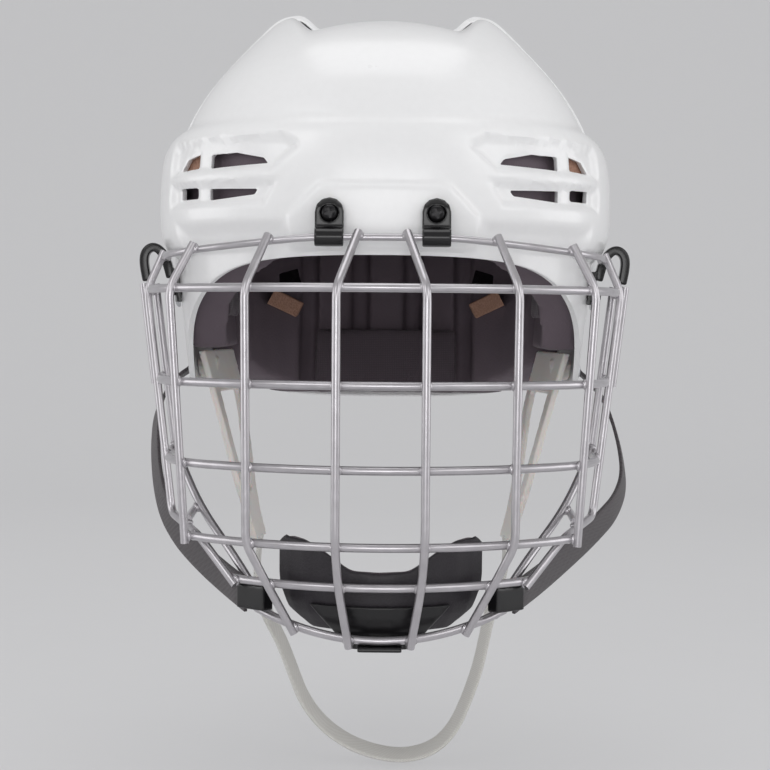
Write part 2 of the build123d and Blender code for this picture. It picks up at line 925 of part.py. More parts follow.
pieces["front_shell"] = front_shell
pieces["rear_shell"] = rear_shell
pieces["front_liner"] = front_liner
pieces["rear_liner"] = rear_liner
pieces["brow_pad"] = brow_pad
pieces["crown_pad"] = crown_pad
pieces["occipital_pad"] = occipital_pad
for side, hand in zip(sides, ("left", "right")):
    pieces[f"temple_pad_{hand}"] = on_side(temple_pad, side)
    pieces[f"liner_tab_{hand}"] = on_side(liner_tab, side)
    pieces[f"forehead_clip_{hand}"] = on_side(forehead_clip(), side)
pieces["size_screws"] = Compound(screws[:4])
pieces["size_nuts"] = Compound(nuts[:4])
pieces["clip_screws"] = Compound(screws[4:])
pieces["clip_nuts"] = Compound(nuts[4:])

pieces["cage_wire_top"] = rod(
    [(x, y, top_wire_height(x)) for x, y in both_halves(top_curve)], top_wire / 2
)
pieces["cage_wire_bottom"] = rod(
    [(x, y, bottom_wire_height(x)) for x, y in both_halves(bottom_curve)], cage_wire / 2
)
for name, curve in cross_curves.items():
    height = cross_heights[name]
    pieces[name] = rod([(x, y, height) for x, y in both_halves(curve)], cage_wire / 2)

# Uprights: where each meets the top, brow, mouth, chin and bottom wires, in shares
# of the cage's half width
upright_shares = (
    ("inner", 0.105, 0.172, 0.172, 0.160, 0.124),
    ("middle", 0.460, 0.530, 0.518, 0.436, 0.345),
    ("outer", 0.770, 0.846, 0.782, None, None),
)
lie = cage_wire - weld_sink
top_lie = (cage_wire + top_wire) / 2 - weld_sink


def with_tips(points):
    """The run of points, with each end drawn out by the wire's tip."""
    ends = []
    for tip, neighbour in ((points[0], points[1]), (points[-1], points[-2])):
        run = (Vector(*tip) - Vector(*neighbour)).normalized()
        ends.append(tuple(Vector(*tip) + run * wire_tip))
    return [ends[0]] + list(points[1:-1]) + [ends[1]]


def upright_points(top, brow, mouth, chin, bottom):
    """The bends of one upright, in front of the wires that it is welded to."""
    x = cage_half_width * top
    place = place_on(top_curve, x, top_lie)
    points = [(*place, top_wire_height(x))]
    for share, name in ((brow, "cage_wire_brow"), (mouth, "cage_wire_mouth")):
        place = place_on(cross_curves[name], cage_half_width * share, lie)
        points.append((*place, cross_heights[name]))
    if chin:
        place = place_on(cross_curves["cage_wire_chin"], cage_half_width * chin, lie)
        points.append((*place, cross_heights["cage_wire_chin"]))
        x = cage_half_width * bottom
        points.append((*place_on(bottom_curve, x, lie), bottom_wire_height(x)))
    return with_tips(points)


def run_width(curve, back):
    """Half width of a wire at a place along its side run."""
    for here, there in zip(curve, curve[1:]):
        if here[1] <= back <= there[1]:
            share = (back - here[1]) / (there[1] - here[1])
            return here[0] + share * (there[0] - here[0])
    raise ValueError("the place lies past the wire's end")


def beside_run(name, back, outward):
    """A point beside a cross wire's side run, outward or inward of it."""
    curve = cross_curves[f"cage_wire_{name}"]
    return (run_width(curve, back) + outward, back, cross_heights[f"cage_wire_{name}"])


def cage_point(across, forward, down):
    """A point in shares of the cage's half width, reach and drop."""
    return (
        cage_half_width * across,
        -cage_front_reach * forward,
        cage_top_height - cage_drop * down,
    )


# Bends of the edge upright and the rear rod in shares of the cage, and where the edge
# upright meets the mouth and chin wires in shares of the cage's half width
edge_cheek_shares = (0.912, 0.42, 0.727)
edge_mouth_share = 0.775
edge_chin_share = 0.585
strut_end_share = 0.6
rear_bend_shares = (0.797, 0.40, 0.706)
rear_low_shares = (0.587, 0.62, 0.845)
rear_end_share = 0.488


def edge_points():
    mouth = place_on(cross_curves["cage_wire_mouth"], cage_half_width * edge_mouth_share, -lie)
    chin = place_on(cross_curves["cage_wire_chin"], cage_half_width * edge_chin_share, lie)
    return with_tips([
        (top_wire_half_width + top_lie, edge_top_back, top_wire_height(top_wire_half_width)),
        beside_run("brow", edge_brow_back, lie),
        cage_point(*edge_cheek_shares),
        (*mouth, cross_heights["cage_wire_mouth"]),
        (*chin, cross_heights["cage_wire_chin"]),
    ])


def rear_rod_points():
    x = cage_half_width * rear_end_share
    return with_tips([
        beside_run("nose", rear_rod_start_back, -lie),
        cage_point(*rear_bend_shares),
        cage_point(*rear_low_shares),
        (*place_on(bottom_curve, x, -lie), bottom_wire_height(x)),
    ])


def strut_points():
    """A short link from the rear rod's bend to the top of the edge upright."""
    start, bend, low = (Vector(*point) for point in rear_rod_points()[:3])
    cheek, mouth = (Vector(*point) for point in edge_points()[2:4])
    end = cheek + (mouth - cheek) * strut_end_share + Vector(0, 0, lie)
    beside = (low - start).cross(end - bend).normalized() * lie
    return [tuple(bend - beside), tuple(end)]


for side, hand in zip(sides, ("left", "right")):
    for name, *shares in upright_shares:
        upright = rod(upright_points(*shares), cage_wire / 2)
        pieces[f"cage_upright_{name}_{hand}"] = on_side(upright, side)
    routes = {
        "upright_edge": edge_points(),
        "side_rod_outer": with_tips([
            beside_run("brow", outer_rod_back, lie), beside_run("eyes", outer_rod_back, lie)
        ]),
        "side_rod_inner": with_tips([
            beside_run("brow", inner_rod_back, -lie), beside_run("nose", inner_rod_back, -lie)
        ]),
        "rear_rod": rear_rod_points(),
        "strut": strut_points(),
    }
    for name, points in routes.items():
        pieces[f"cage_{name}_{hand}"] = on_side(rod(points, cage_wire / 2), side)

# Side clips: a plate on the shell and a loop that hangs over the cage's side rods,
# the loop's bends in shares of its width and height
side_clip_loop_shares = (
    (0.0, 0.10),
    (0.146, 0.55),
    (0.31, 0.81),
    (0.634, 1.0),
    (0.98, 0.81),
    (1.0, 0.48),
    (0.88, 0.0),
)
plate_space = Pos(0, side_clip_back, side_clip_plate_low) * Box(
    band_half_width + overrun,
    side_clip_plate_depth,
    side_clip_plate_height,
    align=(Align.MIN, Align.CENTER, Align.MIN),
)
clip_plate = (dome(-liner_gap - side_clip_plate_thickness) & plate_space) - dome(-liner_gap)
plate_face_x = clip_plate.bounding_box().max.X
loop = ribbon(
    [
        (
            plate_face_x + side_clip_loop_width * across,
            side_clip_back,
            side_clip_low_height + side_clip_loop_height * up,
        )
        for across, up in side_clip_loop_shares
    ],
    side_clip_bar,
    side_clip_depth,
    (0, 1, 0),
)
side_seat = (plate_face_x, side_clip_back, side_clip_screw_height)
side_screw = slotted_screw(
    side_seat,
    (1, 0, 0),
    side_clip_screw_head_radius,
    side_clip_screw_head,
    side_clip_screw_radius,
    side_clip_screw_length,
)
side_hole = disc(
    side_seat, side_clip_screw_radius, side_clip_screw_length, (-1, 0, 0)
)
side_clip = (clip_plate + loop) - side_hole
side_screws = []
for side, hand in zip(sides, ("left", "right")):
    pieces[f"side_clip_{hand}"] = on_side(side_clip, side)
    side_screws.append(on_side(side_screw, side))
    pieces["front_shell"] -= on_side(side_hole, side)
    pieces["front_liner"] -= on_side(side_hole, side)
pieces["side_clip_screws"] = Compound(side_screws)

# Ear guards: outlines in shares of the guard's depth and drop
guard_outer_shares = (
    (0.0, 0.0),
    (1.0, 0.0),
    (0.98, 0.16),
    (0.90, 0.34),
    (0.72, 0.54),
    (0.52, 0.74),
    (0.44, 0.86),
    (0.42, 1.0),
    (0.06, 1.0),
    (0.04, 0.86),
    (0.0, 0.70),
    (0.02, 0.40),
)
guard_hole_shares = (
    (0.18, 0.22),
    (0.80, 0.22),
    (0.74, 0.34),
    (0.56, 0.52),
    (0.34, 0.74),
    (0.18, 0.76),
    (0.16, 0.50),
)
guard_plane = Plane(
    origin=(guard_offset, guard_front_back, guard_top_height),
    x_dir=(sin(radians(guard_turn)), cos(radians(guard_turn)), 0),
    z_dir=Vector(sin(radians(guard_turn)), cos(radians(guard_turn)), 0).cross(
        Vector(sin(radians(guard_lean)), 0, cos(radians(guard_lean)))
    ),
)


def guard_face(shares):
    points = [(guard_depth * along, -guard_drop * down) for along, down in shares]
    return guard_plane * make_face(Polyline(*points, close=True))


guard = extrude(guard_face(guard_outer_shares), amount=-guard_thickness)
guard -= extrude(guard_face(guard_hole_shares), amount=-overrun, both=True)
guard_screw_place = guard_plane.from_local_coords((guard_screw_along, -guard_screw_down, 0))
inside_guard = (
    guard_screw_place.X - guard_thickness, guard_screw_place.Y, guard_screw_place.Z
)
boss = disc(inside_guard, guard_boss_radius, overrun, (1, 0, 0)) & dome(wall + liner_gap)
guard_seat_x = skin_half_width(
    guard_screw_place.Y - guard_screw_head_radius,
    guard_screw_place.Z + guard_screw_head_radius,
    -liner_gap,
)
guard_seat = (guard_seat_x, guard_screw_place.Y, guard_screw_place.Z)
guard_screw_length = guard_seat_x - inside_guard[0] - guard_thickness / 2
guard_screw = slotted_screw(
    guard_seat,
    (1, 0, 0),
    guard_screw_head_radius,
    guard_screw_head,
    guard_screw_radius,
    guard_screw_length,
)
guard_hole = disc(guard_seat, guard_screw_radius, guard_screw_length, (-1, 0, 0))
guard = (guard + boss) - guard_hole
guard_screws = []
for side, hand in zip(sides, ("left", "right")):
    pieces[f"ear_guard_{hand}"] = on_side(guard, side)
    guard_screws.append(on_side(guard_screw, side))
    pieces["front_shell"] -= on_side(guard_hole, side)
pieces["guard_screws"] = Compound(guard_screws)


def turned(section, half_angle):
    """A section of radius and height values, turned about the chin's upright axis."""
    steps = round(2 * half_angle / cup_step_angle)
    rings = []
    for step in range(steps + 1):
        turn = radians(half_angle * (2 * step / steps - 1))
        rings.append([
            (radius * sin(turn), cup_centre_back - radius * cos(turn), height)
            for radius, height in section
        ])
    return facet_solid(rings)


def front_view(outline):
    """A block behind an outline of across and height values, seen from the front."""
    face = Plane.XZ * make_face(Polyline(*outline, close=True))
    return extrude(face, amount=cage_front_reach)


# Chin cup: its section in shares of the radius and height, and the right half of its
# front outline in shares of its half width and height
cup_section_shares = ((1.0, 0.0), (1.0, 0.42), (0.968, 0.695), (0.926, 0.816), (0.821, 1.0))
cup_outline_shares = (
    (0.0, 0.34),
    (0.28, 0.32),
    (0.50, 0.15),
    (0.72, 0.02),
    (0.93, 0.0),
    (1.0, 0.08),
    (1.0, 0.52),
    (0.90, 0.80),
    (0.66, 1.0),
)


def cup_wall_section(near, far):
    """The cup's section between two insets from its outside."""
    outer = [
        (cup_radius * radius - near, cup_top_height - cup_height * down)
        for radius, down in cup_section_shares
    ]
    inner = [
        (cup_radius * radius - far, cup_top_height - cup_height * down)
        for radius, down in reversed(cup_section_shares)
    ]
    return outer + inner


cup_outline = [
    (cup_half_width * across, cup_top_height - cup_height * down)
    for across, down in cup_outline_shares
]
cup_outline += [(-x, z) for x, z in reversed(cup_outline[1:])]
cup_space = front_view(cup_outline)
pieces["chin_cup"] = turned(cup_wall_section(0, cup_wall), cup_half_angle) & cup_space
pieces["chin_cup_foam"] = (
    turned(cup_wall_section(cup_wall, cup_wall + cup_foam), cup_half_angle) & cup_space
)

# Band under the cup: outside radii in shares of the cup's radius, from top to bottom,
# with heights in shares of the band's height
band_section_shares = ((0.968, 0.0), (0.926, 0.246), (0.821, 0.62), (0.821, 1.0))
chin_band_height = chin_band_top_height - chin_band_low_height
chin_band_outer = [
    (
        cup_radius * radius + chin_band_gap + chin_band_thickness,
        chin_band_top_height - chin_band_height * down,
    )
    for radius, down in band_section_shares
]
chin_band_inner = [
    (radius - chin_band_thickness, height) for radius, height in reversed(chin_band_outer)
]
chin_band = turned(chin_band_outer + chin_band_inner, chin_band_half_angle)
chin_band_low_share = 0.45
low_half_width = chin_band_half_width * chin_band_low_share
chin_band &= front_view([
    (-chin_band_half_width, chin_band_top_height),
    (chin_band_half_width, chin_band_top_height),
    (low_half_width, chin_band_low_height),
    (-low_half_width, chin_band_low_height),
])
lip_back = cup_centre_back - chin_band_outer[-1][0] + chin_band_thickness
chin_band += Pos(0, lip_back, chin_band_low_height) * Box(
    2 * chin_band_lip_half_width,
    chin_band_lip + chin_band_thickness,
    chin_band_thickness,
    align=(Align.CENTER, Align.MAX, Align.MIN),
)
pieces["chin_band"] = chin_band

# Side straps in shares of their half width, run and drop, from the snap to the chin
side_strap_left_shares = (
    (0.865, 0.005, 0.098),
    (0.922, 0.031, 0.185),
    (0.961, 0.063, 0.304),
    (0.991, 0.115, 0.457),
    (1.0, 0.198, 0.620),
    (0.948, 0.333, 0.739),
    (0.843, 0.520, 0.837),
    (0.722, 0.750, 0.924),
    (0.600, 1.0, 1.0),
)
side_strap_right_shares = (
    (0.865, 0.010, 0.087),
    (0.922, 0.042, 0.163),
    (0.952, 0.104, 0.272),
    (0.952, 0.188, 0.424),
    (0.930, 0.302, 0.598),
    (0.887, 0.438, 0.739),
    (0.809, 0.604, 0.848),
    (0.704, 0.802, 0.935),
    (0.600, 1.0, 1.0),
)
stud_x = skin_half_width(snap_back, snap_height_place) - snap_sink
stud_length = snap_stud_height + snap_sink
cap_x = stud_x + stud_length + snap_gap
stud = disc((stud_x, snap_back, snap_height_place), snap_radius, stud_length, (1, 0, 0))
cap = disc((cap_x, snap_back, snap_height_place), snap_cap_radius, snap_cap_height, (1, 0, 0))
pad_lie = cage_wire / 2 + pad_gap + strap_pad_thickness / 2
pad_place = place_on(bottom_curve, strap_pad_place, pad_lie)
pad_base = place_on(bottom_curve, strap_pad_place, 0)
pad_out = Vector(pad_place[0] - pad_base[0], pad_place[1] - pad_base[1], 0).normalized()
pad_along = Vector(-pad_out.Y, pad_out.X, 0)
pad_plane = Plane(
    origin=(*pad_place, strap_pad_height_place), x_dir=pad_along, z_dir=pad_out
)
strap_pad = extrude(
    pad_plane * Rectangle(strap_pad_width, strap_pad_height),
    amount=strap_pad_thickness / 2,
    both=True,
)
strap_end = pad_plane.from_local_coords((strap_pad_width / 2 - strap_pad_grip, 0, 0))
for side, hand, shares in zip(
    sides, ("left", "right"), (side_strap_left_shares, side_strap_right_shares)
):
    strap_x = cap_x + snap_cap_height / 2
    route = [
        (strap_x, snap_back, snap_height_place + side_strap_tail),
        (strap_x, snap_back, snap_height_place - side_strap_tail),
    ]
    for across, forward, down in shares:
        route.append((
            side_strap_half_width * across,
            snap_back - side_strap_run_back * forward,
            snap_height_place - side_strap_drop * down,
        ))
    route.append(tuple(strap_end))
    strap = ribbon(route, side_strap_width, side_strap_thickness, (1, 0, 0))
    pieces[f"side_strap_{hand}"] = on_side(strap, side)
    pieces[f"strap_pad_{hand}"] = on_side(strap_pad, side)
    pieces[f"snap_stud_{hand}"] = on_side(stud, side)
    pieces[f"snap_cap_{hand}"] = on_side(cap, side)


def chin_strap():
    """A flat strap in an upright plane, as straight runs joined by tangent arcs."""
    points = [(x, strap_back, z) for x, z in strap_route]
    radii = []
    for before, here, after in zip(points, points[1:], points[2:]):
        run_in = Vector(*here) - Vector(*before)
        run_out = Vector(*after) - Vector(*here)
        shorter = min(run_in.length, run_out.length)
        turn = radians(run_in.get_angle(run_out))
        radii.append(straight_corner_share * shorter / tan(turn / 2))
    print("chin strap radii", [round(radius) for radius in radii])
    path = FilletPolyline(*points, radius=radii)
    plane = Plane(origin=path @ 0, x_dir=(0, 1, 0), z_dir=path % 0)
    strap = sweep(plane * Rectangle(strap_width, strap_thickness), path=path)
    print("chin strap length", round(path.length), "volume share", round(
        strap.volume / (path.length * strap_width * strap_thickness), 3
    ))
    return strap


pieces["chin_strap"] = chin_strap()

for name, piece in pieces.items():
    export_step(piece, f"parts/{name}.step")
    print(name, round(piece.volume))
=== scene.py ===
# %% [markdown]
# # Ice hockey helmet with a wire face cage
#
# The real helmet is two glossy white plastic shells over dark foam, with a cage of
# welded steel wire in front of the face. A dark chin cup, two straps and two ear
# guards hang from them. Each piece is made here in turn, in metres, in the frame that
# the CAD model gives: the face looks along -Y and the origin is at the eyes.

# %% Load the frame
import json
from math import cos, pi, radians, sin

import bmesh
import bpy
import numpy as np
from mathutils import Matrix, Vector
from mathutils.bvhtree import BVHTree
from mathutils.kdtree import KDTree

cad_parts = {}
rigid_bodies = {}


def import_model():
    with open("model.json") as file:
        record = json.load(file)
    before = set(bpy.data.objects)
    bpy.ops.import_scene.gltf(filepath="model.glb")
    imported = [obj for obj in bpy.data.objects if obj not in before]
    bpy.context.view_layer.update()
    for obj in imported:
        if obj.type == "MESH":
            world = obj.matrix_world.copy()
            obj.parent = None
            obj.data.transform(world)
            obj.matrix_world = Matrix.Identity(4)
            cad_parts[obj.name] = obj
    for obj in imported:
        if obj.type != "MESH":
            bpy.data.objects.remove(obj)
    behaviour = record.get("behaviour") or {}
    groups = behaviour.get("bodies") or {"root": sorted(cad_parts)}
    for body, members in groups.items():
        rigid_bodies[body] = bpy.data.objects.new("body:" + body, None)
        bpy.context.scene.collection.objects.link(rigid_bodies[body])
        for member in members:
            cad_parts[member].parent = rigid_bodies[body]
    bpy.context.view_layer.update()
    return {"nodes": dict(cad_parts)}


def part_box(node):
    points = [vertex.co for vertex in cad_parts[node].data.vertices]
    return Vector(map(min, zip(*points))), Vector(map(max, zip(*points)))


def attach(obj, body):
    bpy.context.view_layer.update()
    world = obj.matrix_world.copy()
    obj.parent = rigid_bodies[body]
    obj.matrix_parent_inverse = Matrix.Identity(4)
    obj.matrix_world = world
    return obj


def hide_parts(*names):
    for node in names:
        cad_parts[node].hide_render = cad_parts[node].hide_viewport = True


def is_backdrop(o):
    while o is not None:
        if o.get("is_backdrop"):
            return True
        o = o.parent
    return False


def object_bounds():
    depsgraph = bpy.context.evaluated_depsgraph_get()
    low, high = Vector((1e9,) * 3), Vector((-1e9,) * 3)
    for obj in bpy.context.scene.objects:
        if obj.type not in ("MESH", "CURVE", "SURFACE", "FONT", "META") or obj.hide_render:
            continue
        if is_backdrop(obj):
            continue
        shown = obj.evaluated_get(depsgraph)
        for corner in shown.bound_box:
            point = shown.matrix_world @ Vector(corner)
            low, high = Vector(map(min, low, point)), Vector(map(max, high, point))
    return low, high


for leftover in list(bpy.data.objects):
    bpy.data.objects.remove(leftover)
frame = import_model()
nodes = frame["nodes"]
mm = 0.001


# %% [markdown]
# ## Camera
#
# The photograph looks at the helmet from the front, from about 0.8 m, with a long
# lens. The camera stands at the height of the eyes and is tipped down by two degrees,
# so that the chin strap still fits in the picture. A small turn and roll follow the
# photographer's hand. The roll is made about the view axis, before the tip.

# %% Camera
lens = bpy.data.cameras.new("portrait_lens")
lens.lens = 78.5
lens.sensor_width = 36
camera = bpy.data.objects.new("camera", lens)
bpy.context.scene.collection.objects.link(camera)
camera.location = (0.007, -0.8, 0.0)
turn, tip, roll = radians(0.47), radians(90 - 2.11), radians(0.45)
camera.rotation_euler = (
    Matrix.Rotation(turn, 4, "Z") @ Matrix.Rotation(tip, 4, "X") @ Matrix.Rotation(roll, 4, "Z")
).to_euler()
bpy.context.scene.camera = camera
bpy.context.scene.view_settings.view_transform = "Standard"


# %% [markdown]
# ## Helpers for materials
#
# Colours are written as the hex values that a screen shows. Blender counts in linear
# light, so one function turns them. The other adds a node, sets it up and links it,
# which keeps every material to a few readable lines: a pattern, then a Bump node for
# its relief, a Mix node for its colours or a Map Range node for its gloss. The scale of
# a pattern is 1 over the size of its cells. A wave's bands follow a sine of 20 times
# the scaled length, so their scale is worked out by a function of its own.

# %% Colour and node helpers
def srgb(code):
    """A hex colour in Blender's linear values."""
    shares = [int(code[at:at + 2], 16) / 255 for at in (1, 3, 5)]
    linear = [s / 12.92 if s <= 0.04045 else ((s + 0.055) / 1.055) ** 2.4 for s in shares]
    return (*linear, 1.0)


def bands_apart(spacing):
    """The scale at which a wave's bands lie some millimetres apart."""
    return 2 * pi / 20 / (spacing * mm)


def first_output(node):
    """The first output of a node that its settings leave in use."""
    return next(socket for socket in node.outputs if socket.enabled)


def add(material, kind, inputs, to=None, **settings):
    """Adds a node, sets it up and links it.

    An input is a value, an output, or a node, whose first output is meant. The new
    node's first output feeds the input of the shader that is named by to.
    """
    tree = material.node_tree
    node = tree.nodes.new("ShaderNode" + kind)
    for name, value in settings.items():
        setattr(node, name, value)
    for name, value in inputs.items():
        if isinstance(value, bpy.types.Node):
            value = first_output(value)
        if isinstance(value, bpy.types.NodeSocket):
            tree.links.new(value, node.inputs[name])
        else:
            node.inputs[name].default_value = value
    if to:
        tree.links.new(first_output(node), tree.nodes["Principled BSDF"].inputs[to])
    return node


def new_material(name, colour, roughness, **sockets):
    """A material with its plain values, and its Object coordinates."""
    material = bpy.data.materials.new(name)
    material.use_nodes = True
    shader = material.node_tree.nodes["Principled BSDF"]
    shader.inputs["Base Color"].default_value = srgb(colour)
    shader.inputs["Roughness"].default_value = roughness
    for socket, value in sockets.items():
        shader.inputs[socket.replace("_", " ")].default_value = value
    return material, add(material, "TexCoord", {}).outputs["Object"]


# %% [markdown]
# ## Helpers for pieces
#
# A finished piece is one mesh at the origin. It rides on the body of the CAD part
# that it stands for, and takes that part's place in the picture. Modifiers and curves
# are turned into plain meshes at once. Some pieces start from a copy of the CAD node,
# whose loose triangles are first joined.

# %% Piece helpers
def show(name, mesh, body, material, replaced=()):
    """A mesh as a finished piece of the helmet."""
    mesh.name = name
    piece = bpy.data.objects.new(name, mesh)
    bpy.context.scene.collection.objects.link(piece)
    mesh.materials.clear()
    mesh.materials.append(material)
    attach(piece, body)
    if replaced:
        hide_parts(*replaced)
    return piece


def as_mesh(shape, name):
    """The bmesh as a smooth-shaded mesh."""
    mesh = bpy.data.meshes.new(name)
    shape.to_mesh(mesh)
    shape.free()
    mesh.shade_smooth()
    return mesh


def worked(data, modifiers=()):
    """A mesh or a curve as a smooth mesh, after a row of modifiers with their settings."""
    bench = bpy.data.objects.new("bench", data)
    bpy.context.scene.collection.objects.link(bench)
    for kind, settings in modifiers:
        modifier = bench.modifiers.new(kind.lower(), kind)
        for name, value in settings.items():
            setattr(modifier, name, value)
    bpy.context.view_layer.update()
    ready = bench.evaluated_get(bpy.context.evaluated_depsgraph_get())
    result = bpy.data.meshes.new_from_object(ready)
    bpy.data.objects.remove(bench)
    result.shade_smooth()
    return result


def joined_copy(node):
    """A copy of a CAD node's loose triangles, joined to one surface."""
    shape = bmesh.new()
    shape.from_mesh(nodes[node].data)
    bmesh.ops.remove_doubles(shape, verts=shape.verts, dist=0.01 * mm)
    return shape


# %% [markdown]
# ## Chin strap
#
# The chin strap is a soft white band, 12 mm wide and about 27 cm long, that hangs from
# the feet of the ear guards. It is the only free band on the helmet, so it comes
# first. A smooth NURBS line through the route's points is the way it hangs, and the
# band is drawn along it. The line is flat, so it is drawn lying down and then stood up.

# %% Route of the chin strap
strap_width, strap_thickness, strap_back, strap_length = 12.0, 1.6, -1.2, 0.267
strap_tilt, untwisted_end = radians(17), 25
strap_route = (
    (-57.9, -100.5), (-60.2, -113.0), (-59.5, -125.5), (-55.5, -139.0), (-48.2, -152.0),
    (-42.5, -167.0), (-37.5, -180.0), (-29.0, -191.5), (-17.0, -200.5), (-3.0, -205.8),
    (12.0, -207.5), (26.0, -203.0), (35.0, -193.0), (41.0, -179.0), (45.8, -165.0),
    (49.0, -150.0), (52.0, -135.0), (56.5, -122.0), (59.2, -112.5), (57.9, -100.5),
)


def strap_mesh(extrude, bevel):
    """The mesh of the route's line, as a bare line or as a band."""
    line = bpy.data.curves.new("strap_line", "CURVE")
    line.dimensions = "2D"
    line.fill_mode = "NONE"
    line.resolution_u = 10
    line.extrude, line.bevel_depth, line.bevel_resolution = extrude, bevel, 2
    line.use_fill_caps = bevel > 0
    spline = line.splines.new("NURBS")
    spline.points.add(len(strap_route) - 1)
    for point, (across, height) in zip(spline.points, strap_route):
        point.co = (across * mm, height * mm, 0, 1)
    spline.order_u = 3
    spline.use_endpoint_u = True
    mesh = worked(line)
    mesh.transform(Matrix.Translation((0, strap_back * mm, 0)) @ Matrix.Rotation(pi / 2, 4, "X"))
    return mesh


strap_path = [vertex.co.copy() for vertex in strap_mesh(0, 0).vertices]
print("chin strap path:", len(strap_path), "points")

# %% [markdown]
# Close up the strap is a band of woven white polyester with a fine rib. It is soft and
# slightly satin, so the roughness is middling and a shallow weave stands up on it. Its
# threads lie three quarters of a millimetre apart. The band is tilted about its line,
# fully in the middle and not at all at its two ends.

# %% Chin strap material and piece
strap_polyester, place = new_material("woven_white_polyester", "#dddcd8", 0.5)
threads = {"Vector": place, "Scale": bands_apart(0.748), "Distortion": 0.3, "Detail": 1.0}
ribs = add(strap_polyester, "TexWave", threads, bands_direction="Y")
cross_ribs = add(strap_polyester, "TexWave", threads, bands_direction="DIAGONAL")
crossed = {0: ribs.outputs["Fac"], 1: cross_ribs.outputs["Fac"]}
weave = add(strap_polyester, "Math", crossed, operation="MULTIPLY")
add(strap_polyester, "Bump", {"Height": weave, "Distance": 0.12 * mm, "Strength": 0.5}, to="Normal")
hues = {0: weave, 6: srgb("#cfcdc8"), 7: srgb("#e6e5e2")}
add(strap_polyester, "Mix", hues, to="Base Color", data_type="RGBA")

band_mesh = strap_mesh((strap_width - strap_thickness) / 2 * mm, strap_thickness / 2 * mm)
line_tree = KDTree(len(strap_path))
for at, point in enumerate(strap_path):
    line_tree.insert(point, at)
line_tree.balance()
for vertex in band_mesh.vertices:
    flat = Vector((vertex.co.x, strap_back * mm, vertex.co.z))
    at = min(max(line_tree.find(flat)[1], 1), len(strap_path) - 2)
    along = (strap_path[at + 1] - strap_path[at - 1]).normalized()
    from_end = min(1.0, min(at, len(strap_path) - at) / untwisted_end)
    vertex.co = flat + Matrix.Rotation(strap_tilt * from_end, 3, along) @ (vertex.co - flat)
chin_strap = show("chin_strap_band", band_mesh, "front", strap_polyester, ["chin_strap"])
print("chin strap:", len(chin_strap.data.polygons), "faces")


# %% [markdown]
# ## Wire cage
#
# The cage is bent from round steel wire, 3.6 mm thick, and welded where wires cross.
# The CAD wires have flat sides, because that keeps them light. Here each one is drawn
# round: the rings of corners along the CAD wire give its route, each bend is rounded
# as the bending tool would, and a curve with a round bevel runs along it.

# %% Read the route of a wire
wire_thickness, top_wire_thickness = 3.6, 3.0
ring_corners, ring_radius, same_facing = 8, 2.2, 0.99995


def wire_route(node):
    """Centres of the rings of corners along a CAD wire, from end to end."""
    shape = joined_copy(node)
    shape.normal_update()
    for face in shape.faces:
        patch, edge = {face}, [face]
        while edge:
            for rim in edge.pop().edges:
                for near in rim.link_faces:
                    if near not in patch and near.normal.dot(face.normal) > same_facing:
                        patch.add(near)
                        edge.append(near)
        ring = {corner for near in patch for corner in near.verts}
        middle = sum((corner.co for corner in ring), Vector()) / len(ring)
        widest = max((corner.co - middle).length for corner in ring)
        if len(ring) == ring_corners and widest < ring_radius * mm:
            break
    else:
        raise ValueError(f"{node} has no flat end")
    route, seen = [], set()
    while ring:
        route.append(sum((corner.co for corner in ring), Vector()) / len(ring))
        seen |= ring
        ring = {link.other_vert(corner) for corner in ring for link in corner.link_edges} - seen
    shape.free()
    return route


def bent(route, sharp_reach=5.0, soft_reach=14.0, steps=6):
    """The route with its corners bent round, sharp ones over a shorter reach."""
    path = [route[0]]
    for before, here, after in zip(route, route[1:], route[2:]):
        back, onward = before - here, after - here
        sharp = back.angle(onward) < radians(158)
        reach = (sharp_reach if sharp else soft_reach) * mm
        reach = min(reach, 0.48 * back.length, 0.48 * onward.length)
        start, end = here + back.normalized() * reach, here + onward.normalized() * reach
        for step in range(steps + 1):
            share = step / steps
            path.append(start * (1 - share) ** 2 + here * 2 * share * (1 - share) + end * share**2)
    return path + [route[-1]]


def round_wire(path, thickness):
    """A round wire along a path, with closed ends."""
    line = bpy.data.curves.new("wire_line", "CURVE")
    line.dimensions = "3D"
    line.bevel_depth, line.bevel_resolution = thickness / 2 * mm, 4
    line.use_fill_caps = True
    spline = line.splines.new("POLY")
    spline.points.add(len(path) - 1)
    for point, place in zip(spline.points, path):
        point.co = (*place, 1)
    return worked(line)


# %% [markdown]
# The wire is coated with a grey metallic lacquer over plated steel. It shines in
# narrow streaks and is otherwise an even grey, so it is mostly metal, with a
# roughness of about a third. The coat was dipped, which leaves faint ripples that are
# 5 mm long and 0.02 mm high.

# %% Cage material and wires
wire_coat, place = new_material(
    "lacquered_steel_wire", "#bbb8bc", 0.28, Metallic=0.75, Coat_Weight=0.3, Coat_Roughness=0.12,
)
ripple = add(wire_coat, "TexNoise", {"Vector": place, "Scale": 1 / (5.556 * mm), "Detail": 1.0})
add(wire_coat, "Bump", {"Height": ripple, "Distance": 0.02 * mm, "Strength": 0.12}, to="Normal")
add(wire_coat, "MapRange", {"Value": ripple, "To Min": 0.27, "To Max": 0.33}, to="Roughness")
hues = {0: ripple, 6: srgb("#b1aeb2"), 7: srgb("#c6c3c7")}
add(wire_coat, "Mix", hues, to="Base Color", data_type="RGBA")

cage_wires = sorted(name for name in nodes if name.startswith("cage_"))
wire_paths = {}
for name in cage_wires:
    wire_paths[name] = bent(wire_route(name))
    thickness = top_wire_thickness if name == "cage_wire_top" else wire_thickness
    mesh = round_wire(wire_paths[name], thickness)
    show(name.replace("cage_", "wire_of_cage_"), mesh, "cage", wire_coat, [name])
print("cage:", len(cage_wires), "round wires")

